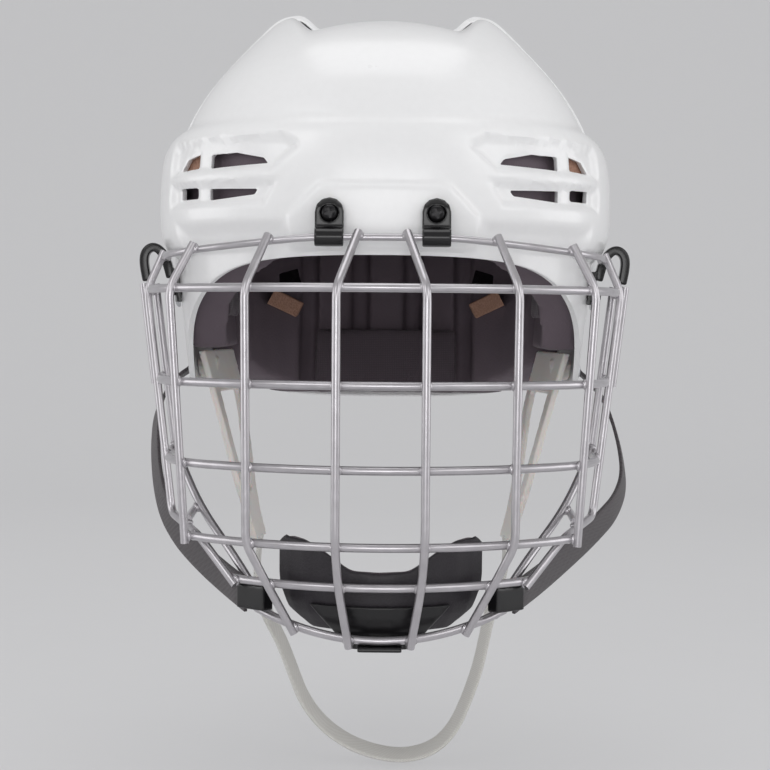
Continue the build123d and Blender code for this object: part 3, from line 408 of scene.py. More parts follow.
# %% [markdown]
# Where two wires touch, the weld has left a small smooth bead in the corner between
# them. The nearest points of each pair of wires are found, and where they are as close
# as two wires that touch, a flattened ball is set between them. Where two middle lines
# run into one another there is no corner, and so no bead.

# %% Weld beads
bead_radius, bead_flatness, touching, running_together = 2.5, 0.62, 4.3, 0.3


def filled_path(path, step=1.0):
    """The path with points at most about a millimetre apart."""
    points = np.array(path) / mm
    run = np.concatenate(([0], np.cumsum(np.linalg.norm(np.diff(points, axis=0), axis=1))))
    places = np.linspace(0, run[-1], int(run[-1] / step) + 2)
    return np.stack([np.interp(places, run, points[:, axis]) for axis in range(3)], -1)


dense_paths = [filled_path(path) for path in wire_paths.values()]
beads = bmesh.new()
bead_count = 0
for first, path in enumerate(dense_paths):
    for other in dense_paths[first + 1:]:
        gaps = np.linalg.norm(path[:, None] - other[None, :], axis=2)
        here, there = np.unravel_index(gaps.argmin(), gaps.shape)
        if gaps[here, there] > touching:
            continue
        between = Vector(other[there] - path[here])
        if between.length < running_together:
            continue
        ball = bmesh.ops.create_icosphere(beads, subdivisions=3, radius=1)
        shaped = Matrix.Translation(Vector(path[here] + other[there]) / 2 * mm)
        shaped = shaped @ between.to_track_quat("Z", "Y").to_matrix().to_4x4()
        wide = bead_radius * mm
        shaped = shaped @ Matrix.Diagonal((wide, wide, bead_flatness * wide, 1))
        bmesh.ops.transform(beads, matrix=shaped, verts=ball["verts"])
        bead_count += 1
show("wire_weld_beads", as_mesh(beads, "wire_weld_beads"), "cage", wire_coat)
print("cage:", bead_count, "weld beads")


# %% [markdown]
# ## Skin of the shells
#
# Both shells follow one skin: level ovals from the rim up to the crown, with shares
# of the helmet's half width and of its reach to the front and to the back. The CAD
# joins the ovals with flat facets. Here a smooth spline runs through the same shares,
# and the brow band, its flutes and the crown channel blend into the skin softly, as
# they do in a moulded part.

# %% Shares of the skin
shell_half_width, shell_front_reach, shell_back_reach = 98.0, 96.0, 144.0
crown_height, widest_back, wall, slide_gap, rear_clearance = 141.0, -8.0, 2.4, 0.4, 0.2
# height, half width, reach to the front, reach to the back, squareness of the oval
dome_level_shares = np.array((
    (-0.34, 0.90, 0.92, 0.83, 2.2), (0.0, 0.955, 0.97, 0.935, 2.2), (0.30, 0.995, 1.0, 0.99, 2.2),
    (0.45, 0.99, 0.995, 1.0, 2.25), (0.56, 0.965, 0.975, 0.985, 2.3), (0.645, 0.915, 0.945, 0.95, 2.35),
    (0.73, 0.845, 0.89, 0.885, 2.4), (0.80, 0.765, 0.81, 0.80, 2.45), (0.86, 0.685, 0.71, 0.71, 2.5),
    (0.91, 0.615, 0.60, 0.60, 2.6), (0.955, 0.55, 0.465, 0.475, 2.8), (0.985, 0.505, 0.33, 0.35, 3.0),
    (1.0, 0.44, 0.22, 0.24, 3.2), (1.003, 0.22, 0.11, 0.12, 3.2), (1.004, 0.0, 0.0, 0.0, 3.2),
))
channel_half_width, channel_flank_run, channel_depth, channel_rise = 34.0, 8.0, 7.6, 5.0
channel_sweep_radius, channel_centre_back, channel_round, crown_round = 230.0, -4.0, 3.0, 3.5
band_half_width, band_front_reach, band_base_height, band_height = 103.0, 97.0, 30.0, 58.0
band_power, band_end_back, band_round = 2.4, -12.0, 1.6
band_top_levels, band_top_drop, below_skin = (0.9, 1.08), 5.0, -9.0
flute_depth, flute_run, vent_lip_depth, vent_lip_run = 2.6, (-2.2, 1.4), 0.7, (-0.4, 1.5)
low_fold_depth, low_fold_run, plaque_rise, plaque_run = 2.6, (-7.0, 0.8), 1.8, (-1.4, 1.0)
# height, half width and reach to the front of the brow band
band_level_shares = np.array((
    (0.0, 0.962, 0.965), (0.10, 1.0, 0.99), (0.28, 1.01, 1.0), (0.52, 1.008, 1.0),
    (0.72, 1.0, 0.995), (0.86, 0.975, 0.985), (1.0, 0.89, 0.945),
))
vent_azimuth, vent_row_height, vent_unit = radians(44.0), 62.2, 26.0
flute_shares = (
    ((-1.5, 0.45), (-1.25, 0.62), (1.25, 0.56), (1.25, 0.06), (-1.1, 0.06)),
    ((-1.2, -0.12), (1.25, -0.12), (1.25, -0.48), (-1.0, -0.48)),
)
low_fold = ((-1.32, -0.72), (1.1, -0.72), (0.9, -1.5), (-1.62, -1.5))
vent_shares = (
    ((-0.98, 0.17), (-0.90, 0.26), (-0.4, 0.36), (0.14, 0.35), (0.14, 0.12)),
    ((-0.82, -0.24), (-0.76, -0.33), (-0.3, -0.37), (0.14, -0.40), (0.14, -0.21)),
    ((0.45, 0.14), (0.45, 0.37), (0.80, 0.31), (0.97, 0.16), (0.97, 0.12)),
    ((0.45, -0.36), (0.45, -0.18), (0.97, -0.17), (0.97, -0.36)),
)
plaque_outline = (
    (39.6, 0.0), (39.6, 44.6), (27.0, 57.3), (-27.0, 57.3), (-39.6, 44.6), (-39.6, 0.0),
)


# %% Smooth mathematics of the skin
def smooth_run(rows, count):
    """Rows of values read off along a smooth cubic spline."""
    rows = np.vstack((2 * rows[0] - rows[1], rows, 2 * rows[-1] - rows[-2]))
    places = np.linspace(0, len(rows) - 3, count)
    first = np.minimum(places.astype(int), len(rows) - 4)
    s = (places - first)[:, None]
    weights = ((1 - s) ** 3, 3 * s**3 - 6 * s**2 + 4, -3 * s**3 + 3 * s**2 + 3 * s + 1, s**3)
    return sum(weight * rows[first + at] for at, weight in enumerate(weights)) / 6


def soft_max(a, b, round_off):
    """The larger of two heights, with the corner between them rounded off."""
    return np.maximum(a, b) + np.maximum(round_off - np.abs(a - b), 0) ** 2 / (4 * round_off)


def ease(value, low, high):
    """0 below low, 1 above high and a smooth rise between."""
    share = np.clip((value - low) / (high - low), 0, 1)
    return share * share * (3 - 2 * share)


def outside_by(outline, across, up):
    """How far a point lies outside a convex outline; less than 0 inside it."""
    corners = np.array(outline, float)
    onward = np.roll(corners, -1, axis=0) - corners
    ahead = np.roll(corners, -1, axis=0)
    turn = np.sign(np.sum(corners[:, 0] * ahead[:, 1] - corners[:, 1] * ahead[:, 0]))
    far = np.full(np.shape(across), -1e9)
    for (x, y), (run, rise) in zip(corners, onward):
        length = np.hypot(run, rise)
        far = np.maximum(far, turn * ((across - x) * rise - (up - y) * run) / length)
    return far


def oval_reach(across, along, half_width, reach, power):
    """Distance from the axis to an oval, in a direction."""
    half_width, reach = np.maximum(half_width, 1e-6), np.maximum(reach, 1e-6)
    return ((np.abs(across) / half_width) ** power + (np.abs(along) / reach) ** power) ** (-1 / power)


def channel_height(x, y, out):
    """Height of the channel's floor and flanks along the crown."""
    half = channel_half_width - out * channel_flank_run / channel_depth
    floor = channel_sweep_radius + out + channel_rise * (1 - (x / half) ** 2)
    flank = channel_sweep_radius + out + (np.abs(x) - half) * channel_depth / channel_flank_run
    radius = soft_max(floor, flank, channel_round)
    centre = crown_height - channel_depth - channel_sweep_radius
    return centre + np.sqrt(np.maximum(radius**2 - (y - channel_centre_back) ** 2, 0))


def skin_points(out, with_brow, ring_count=420, turn_count=900):
    """Points of the skin, moved out by some millimetres, ring by ring from the rim."""
    height, width, front, back, power = smooth_run(dome_level_shares, ring_count).T
    mean = (shell_half_width * width + (shell_front_reach * front + shell_back_reach * back) / 2) / 2
    rise, run = np.gradient(height * crown_height), np.gradient(mean)
    steep = np.hypot(rise, run)
    outward, upward = (rise / steep)[:, None], (-run / steep)[:, None]
    turn = np.linspace(0, 2 * pi, turn_count, endpoint=False)[None, :]
    across, along = np.cos(turn), np.sin(turn)
    reach = np.where(along > 0, shell_back_reach * back[:, None], shell_front_reach * front[:, None])
    reach = oval_reach(across, along, shell_half_width * width[:, None], reach, power[:, None])
    z = crown_height * height[:, None] + out * upward + 0 * turn
    reach = reach + out * outward
    if with_brow:
        reach = with_brow_band(reach, across, along, z)
    x, y = reach * across, reach * along + widest_back
    top = channel_height(x, y, out)
    return x, y, -soft_max(-z, -top, crown_round)


# %% Brow band, flutes, plaque and vent lips
def with_brow_band(reach, across, along, z):
    """The skin's reach with the brow band laid over it."""
    shares = smooth_run(band_level_shares, 200).T
    level = (z - band_base_height) / band_height
    half_width = band_half_width * np.interp(level, shares[0], shares[1])
    front = band_front_reach * np.interp(level, shares[0], shares[2])
    band = oval_reach(across, along, half_width, front, band_power)
    x, y = band * across, band * along
    brow_across = np.abs(x) * cos(vent_azimuth) + y * sin(vent_azimuth)
    brow_up = z - vent_row_height
    for shares in flute_shares:
        edge = outside_by(np.array(shares) * vent_unit, brow_across, brow_up)
        band = band - flute_depth * (1 - ease(edge, *flute_run))
    for shares in vent_shares:
        edge = outside_by(np.array(shares) * vent_unit, brow_across, brow_up)
        band = band - vent_lip_depth * (1 - ease(edge, *vent_lip_run))
    edge = outside_by(np.array(low_fold) * vent_unit, brow_across, brow_up)
    band = band - low_fold_depth * (1 - ease(edge, *low_fold_run))
    edge = outside_by(plaque_outline, x, z)
    band = band + np.where(along < 0, plaque_rise * (1 - ease(edge, *plaque_run)), 0)
    lift = band - reach
    lift = lift - band_top_drop * ease(level, *band_top_levels)
    lift = np.where((level > 0) & (level < band_top_levels[1]), lift, below_skin)
    lift = lift * (1 - ease(y + widest_back, band_end_back - 3.0, band_end_back + 0.5))
    return soft_max(reach, reach + lift, band_round)


def skin_tree(out, with_brow):
    """The skin as a search tree in millimetres that rays can hit."""
    x, y, z = skin_points(out, with_brow)
    rings, turns = x.shape
    points = [Vector(p) for p in np.stack((x, y, z), -1).reshape(-1, 3)]
    here = np.arange(rings * turns).reshape(rings, turns)
    there = np.roll(here, -1, axis=1)
    faces = np.stack((here[:-1], there[:-1], there[1:], here[1:]), -1).reshape(-1, 4)
    return BVHTree.FromPolygons(points, faces.tolist())


front_skin = skin_tree(0.0, True)
rear_skin = skin_tree(slide_gap + wall + rear_clearance, False)
print("skins laid out")

# %% [markdown]
# ## The two shells
#
# Each shell is a sheet of quads that runs down from a pole on its top, like the ribs of
# an umbrella. Every rib ends exactly on the shell's edge, so the edge is a clean line.
# The rear shell's pole leans back, because ribs that run along an edge would fold.
# The vents and screw slots are cut out of the sheet, and then it gets its wall and its
# rims are rounded. Rays cast from inside the head put every vertex on the skin.

# %% Edges of the shells
front_edge = smooth_run(np.array((
    (-106.0, 28.6), (-96.0, 27.4), (-84.5, 24.2), (-73.0, 18.8), (-55.7, 8.0), (-40.3, -5.1),
    (-32.0, -17.1), (-27.4, -27.5), (-20.0, -29.0), (10.0, -29.0), (38.5, -29.0),
)), 400)
rear_edge = smooth_run(np.array((
    (-8.4, 39.0), (-3.0, 17.0), (3.5, 5.0), (14.4, -7.2), (34.6, -15.2),
    (57.6, -25.6), (89.3, -36.0), (120.0, -41.0), (146.0, -40.2),
)), 400)
front_shell_end, rear_shell_start = 38.0, -8.0

# A ray can slip between two faces of the skin. Then it is sent again a little beside.
ray_nudges = (0, 2e-5, -2e-5, 1e-3, -1e-3, 6e-3, -6e-3, 0.02, -0.02)
# The edge is sought in coarse steps, in radians, and then by halving the last of them.
lowest_ray, coarse_step, halvings = -1.2, 0.03, 12
# The step of the trial ribs is in degrees, and the window that calms the edge is 163
# trial ribs wide, which is about 41 degrees.
trial_step, calm_window = 0.25, 163


def in_front_shell(place):
    return place.y < front_shell_end and place.z > np.interp(place.y, *front_edge.T)


def in_rear_shell(place):
    return place.y > rear_shell_start and place.z > np.interp(place.y, *rear_edge.T)


# %% Sheet of a shell
def shell_sheet(tree, centre, lean, ribs, rows, inside, face_share=0.0):
    """A sheet of quads on the skin, in ribs from a pole to the shell's edge.

    The rays start at the centre in millimetres, and the pole leans forward by some
    degrees. The ribs are spread evenly along the edge, but face_share puts more in
    front. Near the pole they follow a calm version of the edge, and lower their own.
    """
    middle = Vector(centre)
    leaning = Matrix.Rotation(radians(lean), 3, "X")

    def hit(heading, drop):
        for nudge in ray_nudges:
            lift, aim = drop + nudge, heading + nudge / 3
            ray = Vector((cos(lift) * cos(aim), cos(lift) * sin(aim), sin(lift)))
            place = tree.ray_cast(middle, leaning @ ray)[0]
            if place is not None:
                return place
        return None

    def rib_end(heading):
        high, low = pi / 2, pi / 2
        while low > lowest_ray:
            low -= coarse_step
            place = hit(heading, low)
            if place is None or not inside(place):
                break
            high = low
        for _ in range(halvings):
            half = (high + low) / 2
            place = hit(heading, half)
            if place is not None and inside(place):
                high = half
            else:
                low = half
        return high

    trial = np.radians(np.arange(-270, 90.1, trial_step))
    last = len(trial) - 1
    trial_drops = np.array([pi / 2 - rib_end(heading) for heading in trial])
    window = np.hanning(calm_window) / ((calm_window - 1) / 2)
    calm = np.convolve(np.tile(trial_drops[:-1], 3), window, "same")[last:2 * last + 1]
    tips = np.array([hit(heading, pi / 2 - drop) for heading, drop in zip(trial, trial_drops)])
    steps = np.linalg.norm(np.diff(tips, axis=0), axis=1) + 1.0
    steps *= 1 + face_share * ease(-np.sin(trial[1:]), 0.1, 0.4)
    spread = np.concatenate(([0], np.cumsum(steps)))
    headings = np.interp(np.linspace(0, spread[-1], ribs), spread, trial)
    drops = [pi / 2 - rib_end(heading) for heading in headings]
    calm_drops = np.interp(headings, trial, calm)
    shape = bmesh.new()
    bmesh.ops.create_grid(shape, x_segments=ribs - 1, y_segments=rows, size=0.5)
    for vertex in shape.verts:
        column = round((vertex.co.x + 0.5) * (ribs - 1))
        share = (vertex.co.y + 0.5) * (1.3 - 0.3 * (vertex.co.y + 0.5))
        own = ease(share, 0.2, 1.0)
        drop = share * (calm_drops[column] * (1 - own) + drops[column] * own)
        vertex.co = hit(headings[column], pi / 2 - max(drop, 1e-4)) * mm
    bmesh.ops.remove_doubles(shape, verts=shape.verts, dist=0.004 * mm)
    bmesh.ops.recalc_face_normals(shape, faces=shape.faces)
    top = max(shape.faces, key=lambda face: face.calc_center_median().z)
    if top.normal.z < 0:
        bmesh.ops.reverse_faces(shape, faces=shape.faces)
    return shape


# %% Outlines with round corners
def with_round_corners(outline, radius):
    """The corners of an outline in millimetres, each rounded by a few short edges."""
    shape = bmesh.new()
    corners = [shape.verts.new((x, y, 0)) for x, y in outline]
    face = shape.faces.new(corners)
    offset = min(radius, 0.4 * min(edge.calc_length() for edge in face.edges))
    bmesh.ops.bevel(
        shape, geom=corners, offset=offset, affect="VERTICES", segments=3, profile=0.5, material=-1,
    )
    shape.faces.ensure_lookup_table()
    rounded = [vertex.co.to_2d() for vertex in shape.faces[0].verts]
    shape.free()
    return rounded


# %% Cutting through a sheet
def cut_out(shape, outline, origin, along, outward, near=2.5):
    """Cuts an outline out of a sheet, straight through along the outward direction."""
    up = Vector((0, 0, 1))
    middle = sum(outline, Vector((0, 0))) / len(outline)
    reach = max((corner - middle).length for corner in outline) + near

    def laid_flat(point):
        spot = point / mm - origin
        return spot.dot(along), spot.dot(up), spot.dot(outward)

    def faces_near(faces):
        kept = []
        for face in faces:
            x, y, depth = laid_flat(face.calc_center_median())
            if depth > 0 and abs(x - middle.x) < reach and abs(y - middle.y) < reach:
                kept.append(face)
        return kept

    patch = faces_near(shape.faces)
    for here, there in zip(outline, outline[1:] + outline[:1]):
        run = there - here
        edges = {edge for face in patch for edge in face.edges}
        corners = {corner for face in patch for corner in face.verts}
        cut = bmesh.ops.bisect_plane(
            shape,
            geom=[*patch, *edges, *corners],
            dist=0.12 * mm,
            plane_co=(origin + along * here.x + up * here.y) * mm,
            plane_no=along * run.y - up * run.x,
        )
        patch = [item for item in cut["geom"] if isinstance(item, bmesh.types.BMFace)]
    spots = [laid_flat(face.calc_center_median()) for face in patch]
    far = outside_by(outline, np.array([s[0] for s in spots]), np.array([s[1] for s in spots]))
    inside = [face for face, distance in zip(patch, far) if distance < 0]
    bmesh.ops.delete(shape, geom=inside, context="FACES")


# %% [markdown]
# The shells are injection-moulded polyethylene with a polished face. Close up the
# gloss has a faint orange peel, with dimples of about 3 mm, and clouds of about 5 cm
# where handling has changed the shine a little.

# %% Shell material
shell_plastic, place = new_material(
    "polished_moulded_polyethylene", "#ededee", 0.28, Coat_Weight=0.35, Coat_Roughness=0.12,
)
peel = add(shell_plastic, "TexNoise", {"Vector": place, "Scale": 1 / (3.333 * mm), "Detail": 2.0})
cloud = add(shell_plastic, "TexNoise", {"Vector": place, "Scale": 1 / (45.45 * mm), "Detail": 4.0})
add(shell_plastic, "Bump", {"Height": peel, "Distance": 0.03 * mm, "Strength": 0.25}, to="Normal")
add(shell_plastic, "MapRange", {"Value": cloud, "To Min": 0.26, "To Max": 0.31}, to="Roughness")
hues = {0: peel, 6: srgb("#ebebec"), 7: srgb("#efeff0")}
add(shell_plastic, "Mix", hues, to="Base Color", data_type="RGBA")

# %% Front shell
front_pole, rear_pole = (0, -24, 20), (0, 52, 20)
brow_place = Vector((0, widest_back, vent_row_height))


def brow_axes(side):
    """The directions along and out of the brow where its vents are, on one side."""
    return (
        Vector((side * cos(vent_azimuth), sin(vent_azimuth), 0)),
        Vector((side * sin(vent_azimuth), -cos(vent_azimuth), 0)),
    )


sheet = shell_sheet(
    front_skin, front_pole, lean=0, ribs=401, rows=100, inside=in_front_shell, face_share=1.2,
)
for shares in vent_shares:
    outline = with_round_corners([Vector(corner) * vent_unit for corner in shares], 1.0)
    for side in (1, -1):
        cut_out(sheet, outline, brow_place, *brow_axes(side))
shell_steps = [
    ("SOLIDIFY", {"thickness": wall * mm, "offset": -1, "use_rim": True}),
    ("BEVEL", {
        "width": 0.7 * mm, "segments": 2, "limit_method": "ANGLE", "angle_limit": radians(50),
    }),
]
mesh = worked(as_mesh(sheet, "front_shell_sheet"), shell_steps)
mesh.set_sharp_from_angle(angle=radians(38))
show("shell_front_gloss", mesh, "front", shell_plastic, ["front_shell"])
print("front shell:", len(mesh.polygons), "faces")

# %% Rear shell
screw_heights, screw_back = (46.0, 12.0), 8.0
half_travel, slot_half_height, slot_round = 7.0, 2.3, 2.0
half_slot = Vector((half_travel + slot_half_height, slot_half_height))
slot_corners = [half_slot * Vector(corner) for corner in ((-1, -1), (1, -1), (1, 1), (-1, 1))]

sheet = shell_sheet(rear_skin, rear_pole, lean=-40, ribs=381, rows=104, inside=in_rear_shell)
slot = with_round_corners(slot_corners, slot_round)
for height in screw_heights:
    for side in (1, -1):
        place = Vector((0, screw_back, height))
        cut_out(sheet, slot, place, Vector((0, 1, 0)), Vector((side, 0, 0)))
mesh = worked(as_mesh(sheet, "rear_shell_sheet"), shell_steps)
mesh.set_sharp_from_angle(angle=radians(38))
show("shell_rear_gloss", mesh, "rear", shell_plastic, ["rear_shell"])
print("rear shell:", len(mesh.polygons), "faces")


# %% [markdown]
# ## Moulded pieces with soft edges
#
# Foam liners, ear guards, the chin cup and the small plastic clips have no sharp edge
# anywhere. A voxel remesh of the CAD solid turns it into an even skin of small quads,
# and a few passes of smoothing round every edge by about a voxel.

# %% Soft-edged copies
def moulded(shape, grain, passes):
    """The shape with an even skin and rounded edges. The grain is in millimetres."""
    return worked(as_mesh(shape, "cast"), [
        ("REMESH", {"mode": "VOXEL", "voxel_size": grain * mm}),
        ("SMOOTH", {"factor": 0.5, "iterations": passes}),
    ])


def sawn(node, place, facing):
    """The CAD node's part in front of a plane, with its sawn side closed."""
    shape = joined_copy(node)
    whole = [*shape.verts, *shape.edges, *shape.faces]
    bmesh.ops.bisect_plane(shape, geom=whole, plane_co=place, plane_no=facing, clear_inner=True)
    bmesh.ops.holes_fill(shape, edges=[edge for edge in shape.edges if edge.is_boundary])
    return shape


def show_moulded(names, grain, passes, body, material, low_end=None):
    """Moulded copies of CAD nodes as finished pieces, cut off below a height if given."""
    for name in names:
        if low_end is None:
            shape = joined_copy(name)
        else:
            shape = sawn(name, (0, 0, low_end * mm), (0, 0, 1))
        mesh = moulded(shape, grain, passes)
        piece = show(name + "_moulded", mesh, body, material, [name])
        print(name, len(mesh.polygons), "faces")


both = ("left", "right")
liner_low_edge = -36.8

# %% [markdown]
# The liner is vinyl nitrile foam, moulded with a closed skin. It is dark, dull and a
# little purple, and its tone changes softly over some centimetres. The grain of its
# skin is finer than a millimetre, and is drawn about a millimetre wide so that it
# shows. The rear liner is sawn level at its low edge.

# %% Foam material and liners
liner_foam, place = new_material("moulded_vinyl_nitrile_foam", "#5f555d", 0.75)
cells = add(liner_foam, "TexNoise", {"Vector": place, "Scale": 1 / (1.111 * mm), "Detail": 3.0})
patches = add(liner_foam, "TexNoise", {"Vector": place, "Scale": 1 / (28.57 * mm), "Detail": 3.0})
add(liner_foam, "Bump", {"Height": cells, "Distance": 0.25 * mm, "Strength": 0.6}, to="Normal")
hues = {0: patches, 6: srgb("#594f57"), 7: srgb("#6d6169")}
add(liner_foam, "Mix", hues, to="Base Color", data_type="RGBA")
show_moulded(["front_liner"], 1.8, 10, "front", liner_foam)
show_moulded(["rear_liner"], 1.8, 10, "rear", liner_foam, liner_low_edge)

# %% [markdown]
# The clips and hooks are moulded from black nylon. The mould was polished, so they
# have a clear gloss, and the plastic's flow leaves streaks of some 7 mm in it.

# %% Clip material
clip_nylon, place = new_material("gloss_moulded_nylon", "#121113", 0.24)
flow = add(clip_nylon, "TexNoise", {"Vector": place, "Scale": 1 / (7.143 * mm), "Detail": 3.0})
add(clip_nylon, "Bump", {"Height": flow, "Distance": 0.05 * mm, "Strength": 0.35}, to="Normal")
add(clip_nylon, "MapRange", {"Value": flow, "To Min": 0.18, "To Max": 0.32}, to="Roughness")

# %% [markdown]
# Two tabs of tan foam are cut from a sheet, which opens its cells. Open cells take
# the light without any gloss, so the foam is rough, and its cells are drawn about a
# millimetre wide. Each tab is glued on at a slant.

# %% Tan tabs
tan_foam, place = new_material("cut_tan_foam", "#a98370", 0.85)
cells = add(tan_foam, "TexVoronoi", {"Vector": place, "Scale": 1 / (1.111 * mm)})
add(tan_foam, "Bump", {"Height": cells, "Distance": 0.3 * mm, "Strength": 0.7}, to="Normal")
hues = {0: cells, 6: srgb("#987260"), 7: srgb("#b68f7b")}
add(tan_foam, "Mix", hues, to="Base Color", data_type="RGBA")
show_moulded([f"liner_tab_{hand}" for hand in both], 0.6, 5, "rear", tan_foam)
for hand, tab_lean in (("left", -27), ("right", 27)):
    mesh = bpy.data.objects[f"liner_tab_{hand}_moulded"].data
    centre = sum((vertex.co for vertex in mesh.vertices), Vector()) / len(mesh.vertices)
    lean = Matrix.Rotation(radians(tab_lean), 4, "Y")
    mesh.transform(Matrix.Translation(centre) @ lean @ Matrix.Translation(-centre))


# %% [markdown]
# Two small things show the inside: a tan foam block fills the space behind each short
# upper vent, and a dark plate with rounded corners lies on the liner above each tab.

# %% Foam behind the vents and plates on the liner
def small_block(size, place, across, up, outward, round_off):
    """A block with round edges, in millimetres, that stands square to three directions."""
    shape = bmesh.new()
    bmesh.ops.create_cube(shape, size=1)
    bmesh.ops.scale(shape, vec=Vector(size) * mm, verts=shape.verts)
    bmesh.ops.bevel(
        shape, geom=shape.edges[:], offset=round_off * mm, affect="EDGES", segments=3,
        profile=0.5, material=-1,
    )
    axes = Matrix((across, up, outward)).transposed().to_4x4()
    mesh = as_mesh(shape, "block")
    mesh.transform(Matrix.Translation(place) @ axes)
    return mesh


liner_tree = BVHTree.FromBMesh(joined_copy("rear_liner"))
foam_size, foam_along, foam_up, foam_behind_wall = (17, 9, 3), 0.72, 0.25, 2.6
plate_size, plate_above_tab, plate_lean, far_out = (18, 8, 1.4), 12.5, -12, 200
upright = Vector((0, 0, 1))
for side, hand in ((1, "left"), (-1, "right")):
    along, outward = brow_axes(side)
    spot = brow_place + (along * foam_along + upright * foam_up) * vent_unit
    spot = front_skin.ray_cast(spot + outward * far_out, -outward)[0] * mm
    spot -= outward * (wall + foam_behind_wall) * mm
    block = small_block(foam_size, spot, along, upright, outward, 0.8)
    show(f"vent_foam_{hand}", block, "front", tan_foam)
    low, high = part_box(f"liner_tab_{hand}")
    start = Vector(((low.x + high.x) / 2, 0, (low.z + high.z) / 2 + plate_above_tab * mm))
    spot, facing = liner_tree.ray_cast(start, Vector((0, 1, 0)))[:2]
    across = upright.cross(facing).normalized()
    lean = Matrix.Rotation(radians(plate_lean * side), 3, facing)
    across, up = lean @ across, lean @ facing.cross(across)
    plate = small_block(plate_size, spot, across, up, facing, 0.5)
    show(f"liner_plate_{hand}", plate, "rear", clip_nylon)
print("vent foam and liner plates laid")

# %% [markdown]
# The ear guards are moulded from clear polyethylene, which looks like milky ivory.
# Light goes a few millimetres into it, so the shader has some subsurface scattering.
# Its surface is smooth, with a haze that changes over a centimetre or two.

# %% Ear guards
guard_plastic, place = new_material(
    "translucent_moulded_polyethylene", "#dbd8d2", 0.42, Subsurface_Weight=0.25, Subsurface_Scale=0.003,
)
haze = add(guard_plastic, "TexNoise", {"Vector": place, "Scale": 1 / (16.67 * mm), "Detail": 3.0})
add(guard_plastic, "Bump", {"Height": haze, "Distance": 0.05 * mm, "Strength": 0.4}, to="Normal")
hues = {0: haze, 6: srgb("#dcd8d3"), 7: srgb("#ebe8e4")}
add(guard_plastic, "Mix", hues, to="Base Color", data_type="RGBA")
add(guard_plastic, "MapRange", {"Value": haze, "To Min": 0.35, "To Max": 0.5}, to="Roughness")
show_moulded([f"ear_guard_{hand}" for hand in both], 0.7, 4, "front", guard_plastic)

# %% [markdown]
# The chin cup is moulded rubber, nearly black and satin, with a fine leather-like
# grain that is drawn about a millimetre wide. Its band is a polished black rubber
# with smears a centimetre wide in its gloss.

# %% Chin cup and its band
cup_plastic, place = new_material("satin_moulded_rubber", "#252126", 0.55)
grain = add(cup_plastic, "TexVoronoi", {"Vector": place, "Scale": 1 / (0.9091 * mm)})
add(cup_plastic, "Bump", {"Height": grain, "Distance": 0.12 * mm, "Strength": 0.5}, to="Normal")
hues = {0: grain, 6: srgb("#221e23"), 7: srgb("#2c282e")}
add(cup_plastic, "Mix", hues, to="Base Color", data_type="RGBA")
show_moulded(["chin_cup"], 0.9, 4, "cage", cup_plastic)
band_rubber, place = new_material("gloss_black_rubber", "#141315", 0.33)
smear = add(band_rubber, "TexNoise", {"Vector": place, "Scale": 1 / (11.11 * mm), "Detail": 4.0})
add(band_rubber, "Bump", {"Height": smear, "Distance": 0.06 * mm, "Strength": 0.4}, to="Normal")
add(band_rubber, "MapRange", {"Value": smear, "To Min": 0.25, "To Max": 0.42}, to="Roughness")
show_moulded(["chin_band"], 0.6, 4, "cage", band_rubber)

# %% Clips
show_moulded([f"forehead_clip_{hand}" for hand in both], 0.45, 4, "front", clip_nylon)
show_moulded([f"strap_pad_{hand}" for hand in both], 0.5, 5, "cage", clip_nylon)

# %% [markdown]
# Each side clip is a plate behind the shell and a round loop that hangs over the
# cage's side rods. The loop is a bar bent smoothly through the shares of its width
# and height, and the plate is the CAD clip up to the loop's foot.

# %% Side clips
clip_loop_shares = np.array((
    (0.0, 0.10), (0.146, 0.55), (0.31, 0.84), (0.64, 1.06), (1.0, 0.86), (1.01, 0.48), (0.88, 0.0),
))
clip_loop_width, clip_loop_height, clip_loop_low = 12.3, 15.5, 18.5
clip_back, clip_bar, clip_depth, clip_plate_overlap = -31.0, 4.0, 5.0, 0.4


def bar_between(one, other, thickness, round_off, segments=2):
    """A flat bar between two edges, with its own thickness and rounded edges."""
    shape = bmesh.new()
    bmesh.ops.create_grid(shape, x_segments=len(one) - 1, y_segments=6, size=0.5)
    for vertex in shape.verts:
        at = round((vertex.co.x + 0.5) * (len(one) - 1))
        vertex.co = one[at].lerp(other[at], vertex.co.y + 0.5)
    bmesh.ops.remove_doubles(shape, verts=shape.verts, dist=0.01 * mm)
    return worked(as_mesh(shape, "bar"), [
        ("SOLIDIFY", {"thickness": thickness * mm, "offset": 0}),
        ("BEVEL", {
            "width": round_off * mm, "segments": segments,
            "limit_method": "ANGLE", "angle_limit": radians(50),
        }),
    ])


for side, hand in ((1, "left"), (-1, "right")):
    name = f"side_clip_{hand}"
    low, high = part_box(name)
    foot = max(abs(low.x), abs(high.x)) / mm - clip_loop_width - clip_bar / 2
    route = smooth_run(clip_loop_shares, 48)
    edges = [[
        Vector((
            side * (foot + clip_loop_width * across),
            clip_back + edge * clip_depth / 2,
            clip_loop_low + clip_loop_height * up,
        )) * mm
        for across, up in route
    ] for edge in (-1, 1)]
    whole = bmesh.new()
    whole.from_mesh(bar_between(*edges, clip_bar, 1.3, 3))
    plate = sawn(name, (side * (foot + clip_plate_overlap) * mm, 0, 0), (-side, 0, 0))
    whole.from_mesh(moulded(plate, 0.5, 4))
    mesh = as_mesh(whole, name)
    show(name + "_bent", mesh, "front", clip_nylon, [name])
    print(name, len(mesh.polygons), "faces")

